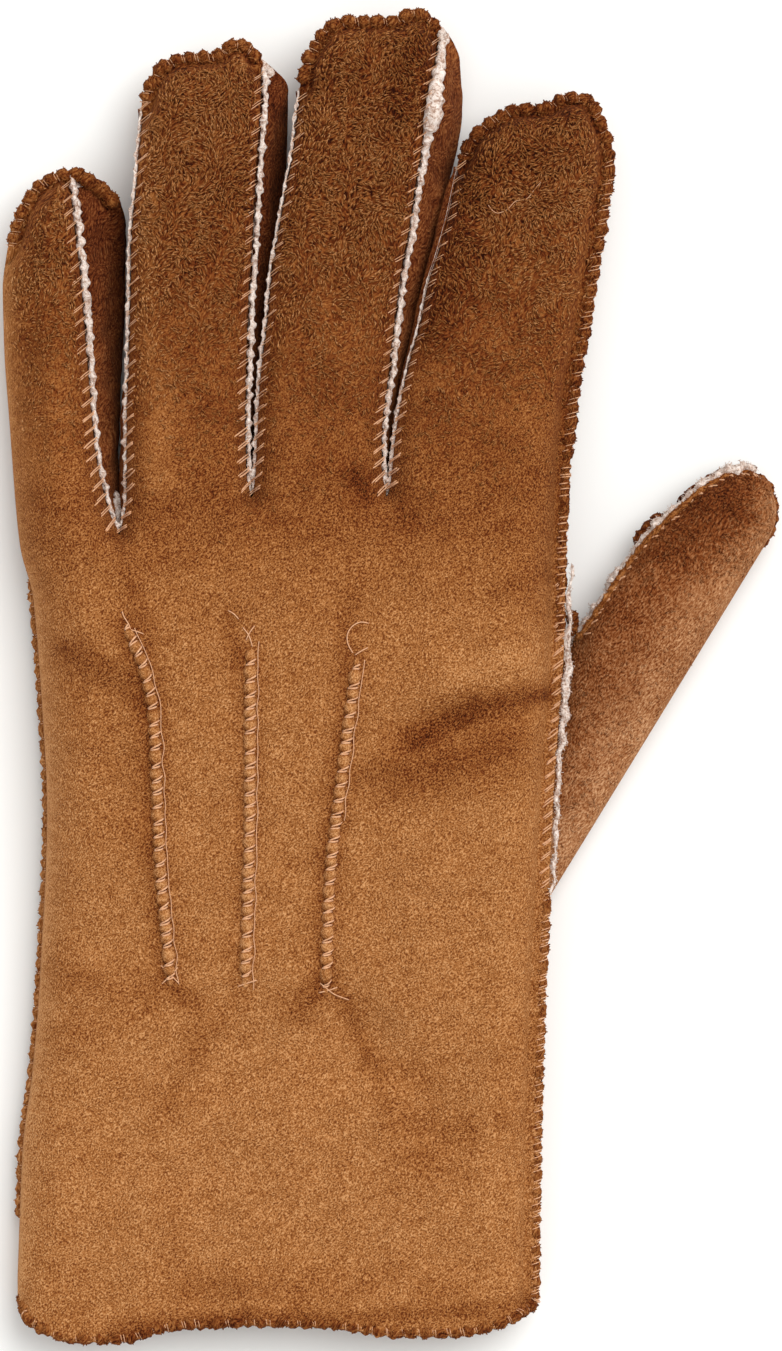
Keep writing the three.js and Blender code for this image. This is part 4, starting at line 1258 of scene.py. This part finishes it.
def addOvercast(path, half, seed, pinch, flatten=overcast["tall"], angles=(150, -10), thick=0.0, nap=0.0,
                outer=0.0, strands=(-0.22, 0.22), slant=0.5):
    # half is the band's half width, pinch how far the thread draws it in, thick the thread's radius,
    # angles where a thread starts and ends round the band, and outer how much darker its outer side is
    path, way = evenly(path, overcast["step"])
    path = eased(path, 3)
    swell, bound = puffs(way, overcast["puff"], seed)
    radius = half * (1 - pinch + pinch * swell)
    vertices, faces = lumpyTube(path, radius, 0.08, 1.3, seed, overcast["sides"], flatten, 1.0)
    # painted highlight on the middle of each puff and painted shade where the thread binds it
    shade = (0.14 * swell[:, None] - outer * np.cos(turns(overcast["sides"]))).ravel()
    shade = np.concatenate([shade, 0.14 * swell[[0, -1]]]) - 0.08 + nap
    bands.append((vertices, faces, shade))
    if thick:
        bandThread.append(
            bandThreads(path, way, radius, bound, flatten, angles, slant, seed + 7, strands, thick))


for number, finger in enumerate(fingerShapes[:3]):
    addOvercast(outlinePath(["tip"], finger), overcast["half"], 100 + number, 0.58, thick=0.07, nap=0.08,
                outer=0.05)
outseam = outlinePath(["outseam"])
high, low = outseam[outseam[:, 1] > 7], outseam[outseam[:, 1] < -40]
middle = outseam[(outseam[:, 1] <= 8) & (outseam[:, 1] >= -41)]
upper, hand = high[high[:, 1] > 40], high[high[:, 1] <= 40.5]
addOvercast(upper, 1.32, 110, 0.4, thick=0.08, nap=0.02, outer=0.12, strands=(-0.5, 0.3), slant=1.2)
addOvercast(outlinePath(["tip"], fingerShapes[3]), 1.4, 122, 0.6, thick=0.05, nap=0.03, outer=0.07)
addOvercast(hand - np.array((0.2, 0, 0)), 1.15, 121, 0.34, 1.4, (155, 10), 0.13, 0.16, 0.12, (-0.65, 0.65))
addOvercast(middle - np.array((0.9, 0, 0.4)), 0.9, 111, 0.25, 1.5, (150, 60), 0, 0.26)
# The palm's edge beside the little fingertip
palmEdge = [
    (-61.6, 95.3, 10.6), (-59, 94.4, 10.8), (-56.6, 92.9, 10.6), (-54.2, 91, 10.2), (-52.3, 88.6, 9.4),
]
addOvercast(palmEdge, 1.5, 119, 0.3, 1.2, nap=0.06)
addOvercast(low + np.array((0.25, 0, 0)), 1.05, 112, 0.42, thick=0.1, nap=0.14, outer=0.06,
            strands=(-0.55, 0, 0.55), slant=0.9)

# Seam of the folded side, under its edge
ruffleY = np.arange(ruffle["low"], ruffle["high"], 0.5)
ruffleX = readCurve(foldLine, ruffleY) + ruffle["peek"][0]
ruffleX += ruffle["peek"][1] * (1 - smoothStep(ruffle["high"] - ruffleY, 0, 8))
ruffleZ = ruffle["height"] + 0.25 * wobble(ruffleY[:, None], 9, 120)
addOvercast(np.column_stack([ruffleX, ruffleY, ruffleZ])[::-1], 1.05, 113, 0.5, 1.2, (200, 60), 0.1, 0.42)


def hemPath():
    # round the cuff's mouth: along the back from the thumb side, round the fold and back along the palm
    ends = []
    for plan in (backPlan, palmPlan):
        hem = plan["hand"][0]
        outer, inner = skins[plan["side"]]
        ends.append((outer[hem] + inner[hem]) / 2 + np.array((0, 0.7, 0)))
    return np.concatenate([ends[0][::-1], ends[1][1:]])


addOvercast(hemPath(), 1.35, 114, 0.42, 1.15, (150, -20), 0.08, 0.07, -0.1)
rolled = thumbSeam(-0.5, 0, 9, 200) * np.array((1, 1, 1.4))
addOvercast(rolled, 0.75, 123, 0.3, 1.2, nap=0.3)
# Bits of the thumb's other edge that stick out beside its seam
addOvercast(thumbSeam(0.95, -0.9, 41, 60), 0.5, 115, 0.5, 1.4, nap=-0.2)
addOvercast(thumbSeam(0.35, 0.3, 81.5, 200, outerEdge)[::-1], 0.85, 116, 0.5, 1.3, nap=0.02)
addOvercast([(46.4, 24.2, 6.2), (48, 26.8, 6.4), (49.8, 28.6, 6.4), (51.6, 30.2, 6)], 1.3, 117, 0.3, 1.2,
            nap=-0.1)
addOvercast([(34.2, 6.5, 6), (34.6, 8.5, 6.4), (34.4, 10.4, 6.2), (34, 12, 5.6)], 1.2, 118, 0.2, 1.2)
bandVertices, bandFaces = joined([part[:2] for part in bands])
bandVertices[:, 2] = np.maximum(bandVertices[:, 2], 0.02)
bandNap = overcast["nap"] + 0.32 * napAndShadeAt(bandVertices[:, :2]) + np.concatenate([part[2] for part in bands])
bandNap = bandNap + 0.05 * wobble(bandVertices, 5, 130) + 0.04 * wobble(bandVertices, 1.5, 131)
bandPiece = makePiece("overcast_edges", bandVertices, bandFaces, [tanSuede], "tan_suede", 0, bandNap, 0.9)
threadPiece = makePiece("overcast_threads", *joined(bandThread), [tanThread], "tan_thread")
print("stage: overcast edges", len(bandFaces))

# Tucks: pinched ridges on the back of the hand, whipped over with thread
tuck = {"half": 1.2, "tall": 1.4, "pitch": 2.7, "pinch": 0.5, "end": 4.5, "sink": 0.3, "step": 0.22}
runningSpans = [(-59, 9), (-60, 6.5), (-28, 3)]  # how far the running thread beside each tuck shows


def tuckPath(number):
    low, high = tuckSpans[number]
    y = np.arange(low, high + 0.1, 0.4)
    xy = np.column_stack([readCurve(tuckLines[number], y), y])
    return evenly(laidOn(backTree, xy), tuck["step"])


tuckParts, tuckThreads, tuckShade = [], [], []
for number in range(3):
    line, way = tuckPath(number)
    line[:, 2] = eased(line[:, 2:], 8)[:, 0]
    swell, bound = puffs(way, tuck["pitch"], 140 + number)
    ends = smoothStep(np.minimum(way, way[-1] - way), 0, tuck["end"])
    line[:, 2] -= tuck["sink"] + 0.5 * (1 - ends)
    radius = tuck["half"] * (0.55 + 0.45 * ends) * (1 - tuck["pinch"] + tuck["pinch"] * swell)
    tuckParts.append(lumpyTube(line, radius, 0.05, 1.6, 150 + number, 16, tuck["tall"], 0.6))
    tuckShade.append(np.concatenate([np.repeat(swell, 16), swell[[0, -1]]]))
    inside = bound[(bound > 1.2) & (bound < way[-1] - 1.2)]
    tuckThreads.append(bandThreads(line, way, radius, inside, tuck["tall"], (140, 5), 0.75, 160 + number,
                                   (-0.45, 0.45), 0.18, 0.8))
    lowY, highY = runningSpans[number]
    y = np.arange(lowY, highY, 0.5)
    x = readCurve(tuckLines[number], y) + 1.5 + 0.1 * wobble(y[:, None], 6, 170 + number)
    running = laidOn(backTree, np.column_stack([x, y]), 0.14)
    tuckThreads.append(tubes(evenly(running, 0.5)[0][None], 0.085, 6))
# Loose ends and locking stitches of the tucks, and one loose fibre on the index finger: x and y along each
tails = [
    [(-49.4, 8.2), (-49.9, 9.6), (-50.8, 10.6), (-51, 11.6)], [(-50.6, 8.4), (-48.6, 8.0), (-47, 7.4)],
    [(-31, 11.8), (-30, 11.4), (-29, 10.2)], [(-27.6, 6.2), (-27, 7.6), (-26, 8.9)],
    [(-28.2, 8.6), (-27, 7.2), (-26.4, 5)],
    [(-4.4, 9.4), (-6, 9.8), (-7.6, 8.9), (-8.6, 7.3), (-8.4, 5.4), (-7.4, 3.8)],
    [(-4.6, 4.8), (-5.8, 4.2), (-7, 3.4)], [(-43.8, -55.4), (-42.2, -57), (-40.4, -58.8)],
    [(-43.6, -58.9), (-42, -57.4), (-40.6, -55.8)], [(-29.2, -59.4), (-27.6, -58.8), (-25.6, -58.2)],
    [(-13.9, -60.6), (-12, -60.2), (-10.4, -59.6)], [(-13.6, -58.8), (-11, -61), (-8.2, -62)],
    [(18.2, 88.7), (19.6, 86.9), (21.8, 87.6), (23.4, 89.6), (25.6, 89.6), (26.8, 91.4), (28.2, 93)],
]
for number, tail in enumerate(tails):
    smooth = eased(evenly(tail, 0.4)[0], 3)
    line = evenly(seated(smooth, 0.22, 8), 0.35)[0]
    tuckThreads.append(tubes(eased(line, 2)[None], 0.07 if number == len(tails) - 1 else 0.11, 6))
tuckVertices, tuckFaces = joined(tuckParts)
# painted highlight on the puffs and painted shade in the pinches, with part of the painted shade beside the
# tucks
tuckNap = napAndShadeAt(tuckVertices[:, :2], 0.6) + 0.15 + 1.1 * (np.concatenate(tuckShade) - 0.72)
tuckPiece = makePiece("tucks_suede", tuckVertices, tuckFaces, [tanSuede], "tan_suede", 0, tuckNap, 0.15)
tuckThreadPiece = makePiece("tuck_threads", *joined(tuckThreads), [tanThread], "tan_thread")
print("stage: tucks")


# Nap: leaning strands of fibre, few and thick in place of the real thousands
def scatter(vertices, quads, weight, perMm2, seed):
    # random places on a surface of quads, with the normals there
    draw = np.random.default_rng(seed)
    a, b, c, d = (vertices[quads[:, i]] for i in range(4))
    normal = np.cross(c - a, d - b) / 2
    number = np.linalg.norm(normal, axis=1) * perMm2 * weight((a + b + c + d) / 4, unit(normal))
    pick = np.repeat(np.arange(len(quads)), np.floor(number + draw.random(len(quads))).astype(int))
    u, v = draw.random((2, len(pick), 1))
    place = (a[pick] * (1 - u) + b[pick] * u) * (1 - v) + (d[pick] * (1 - u) + c[pick] * u) * v
    return place, unit(normal[pick])


def strands(base, normal, heading, length, width, lean):
    # closed leaning spikes with a bend, seven points each; heading is their angle in plan
    flat = np.stack([np.cos(heading), np.sin(heading), np.zeros(len(heading))], -1)
    along = unit(flat - normal * (flat * normal).sum(1, keepdims=True))
    side = np.cross(along, normal)
    length, rise = length[:, None], np.sin(lean)[:, None]
    bend = base + along * length * 0.5 + normal * length * rise * 0.75
    end = base + along * length + normal * length * rise * 0.9
    points = []
    for centre, share in ((base - normal * 0.12, 0.5), (bend, 0.42)):
        for turn in np.radians((90, 210, 330)):
            points.append(centre + (side * math.cos(turn) + normal * math.sin(turn)) * width[:, None] * share)
    points.append(end)
    vertices = np.stack(points, 1).reshape(-1, 3)
    vertices[:, 2] = np.maximum(vertices[:, 2], 0.02)
    first = np.arange(len(base))[:, None] * 7
    walls = [(0, 3, 4, 1), (1, 4, 5, 2), (2, 5, 3, 0)]
    caps = [(3, 6, 4), (4, 6, 5), (5, 6, 3), (0, 1, 2)]
    faces = [f for wall in walls for f in (first + np.array(wall)).tolist()]
    faces += [f for cap in caps for f in (first + np.array(cap)).tolist()]
    return vertices, faces


# Strands: length and width in mm, lean and heading in degrees, and tones at the foot, the bend and the tip
strandColumns = ("perMm2", "length", "width", "lean", "towards", "tousled", "tones")
fingerNap, edgeNap, thumbNap, fleeceNap = (dict(zip(strandColumns, row)) for row in (
    (2.5, 1.2, 0.42, 20, 75, 0.5, (-0.1, 0.3, 0.58)),
    (2.0, 0.3, 0.5, 30, 75, 0.5, (-0.1, 0.04, 0.12)),
    (2.4, 0.9, 0.34, 14, 52, 0.4, (-0.14, 0.06, 0.26)),
    (3.0, 0.5, 0.24, 40, 0, 3, (0, 0, 0)),
))


def addStrands(name, vertices, quads, weight, napOf, seed, look, material=tanSuede, slot="tan_suede"):
    # weight gives how thickly a place is covered, and napOf its shade
    draw = np.random.default_rng(seed + 1)
    base, normal = scatter(vertices, quads, weight, look["perMm2"], seed)
    count = len(base)
    heading = math.radians(look["towards"]) + 1.1 * wobble(base[:, :2], 10, seed + 2)
    heading += draw.normal(0, look["tousled"], count)
    length = look["length"] * draw.uniform(0.7, 1.3, count)
    width = look["width"] * draw.uniform(0.7, 1.25, count)
    lean = np.radians(look["lean"]) * draw.uniform(0.6, 1.5, count)
    points, faces = strands(base, normal, heading, length, width, lean)
    shade = np.tile(np.repeat(np.array(look["tones"], float), (3, 3, 1)), count)
    shade += np.repeat(draw.normal(0, 0.07, count), 7)
    nap = np.repeat(napOf(base), 7) + shade
    print(name, count, "strands")
    return makePiece(name, points, faces, [material], slot, 0, nap, 0.4)


def fingerWeight(side):
    inside = smoothStep(backPlan["inset"][backPlan["quads"]].mean(1), 0.8, 2.4)

    def weight(centre, normal):
        level = smoothStep(normal[:, 2], 0.45, 0.8) * inside
        return level * longAt(centre[:, :2]) ** 1.3 * np.where(centre[:, 0] * side > -9 * side, 1, 0)
    return weight


def facing(low, high):
    # strands only where the surface looks up
    return lambda centre, normal: smoothStep(normal[:, 2], low, high)


def quadsOf(faces):
    return np.array([face for face in faces if len(face) == 4])


def thumbWeight(centre, normal):
    return smoothStep(normal[:, 2], 0.3, 0.7) * (0.2 + 0.8 * smoothStep(centre[:, 1], 12, 30))


nearestBand, nearestThumb = nearestTo(bandVertices), nearestTo(thumbOuter)
for side, name in ((1, "nap_of_right_fingers"), (-1, "nap_of_left_fingers")):
    addStrands(name, skins["back"][0], backPlan["quads"], fingerWeight(side),
                                lambda at: napAndShadeAt(at[:, :2]), 200 + side, fingerNap)
addStrands("nap_of_edges", bandVertices, quadsOf(bandFaces), facing(0, 0.5),
                            lambda at: bandNap[nearestBand(at)], 210, edgeNap)
addStrands("nap_of_thumb", thumbOuter, quadsOf(thumbFaces), thumbWeight,
                            lambda at: thumbShade[nearestThumb(at)] + 0.12 * smoothStep(at[:, 1], 22, 32),
                            220, thumbNap, thumbSuede)
addStrands("fleece_fuzz", looseFleece[0], quadsOf(looseFleece[1]), facing(-0.5, 0),
                            lambda at: np.zeros(len(at)), 230, fleeceNap, creamFleece, "cream_fleece")
print("stage: nap")
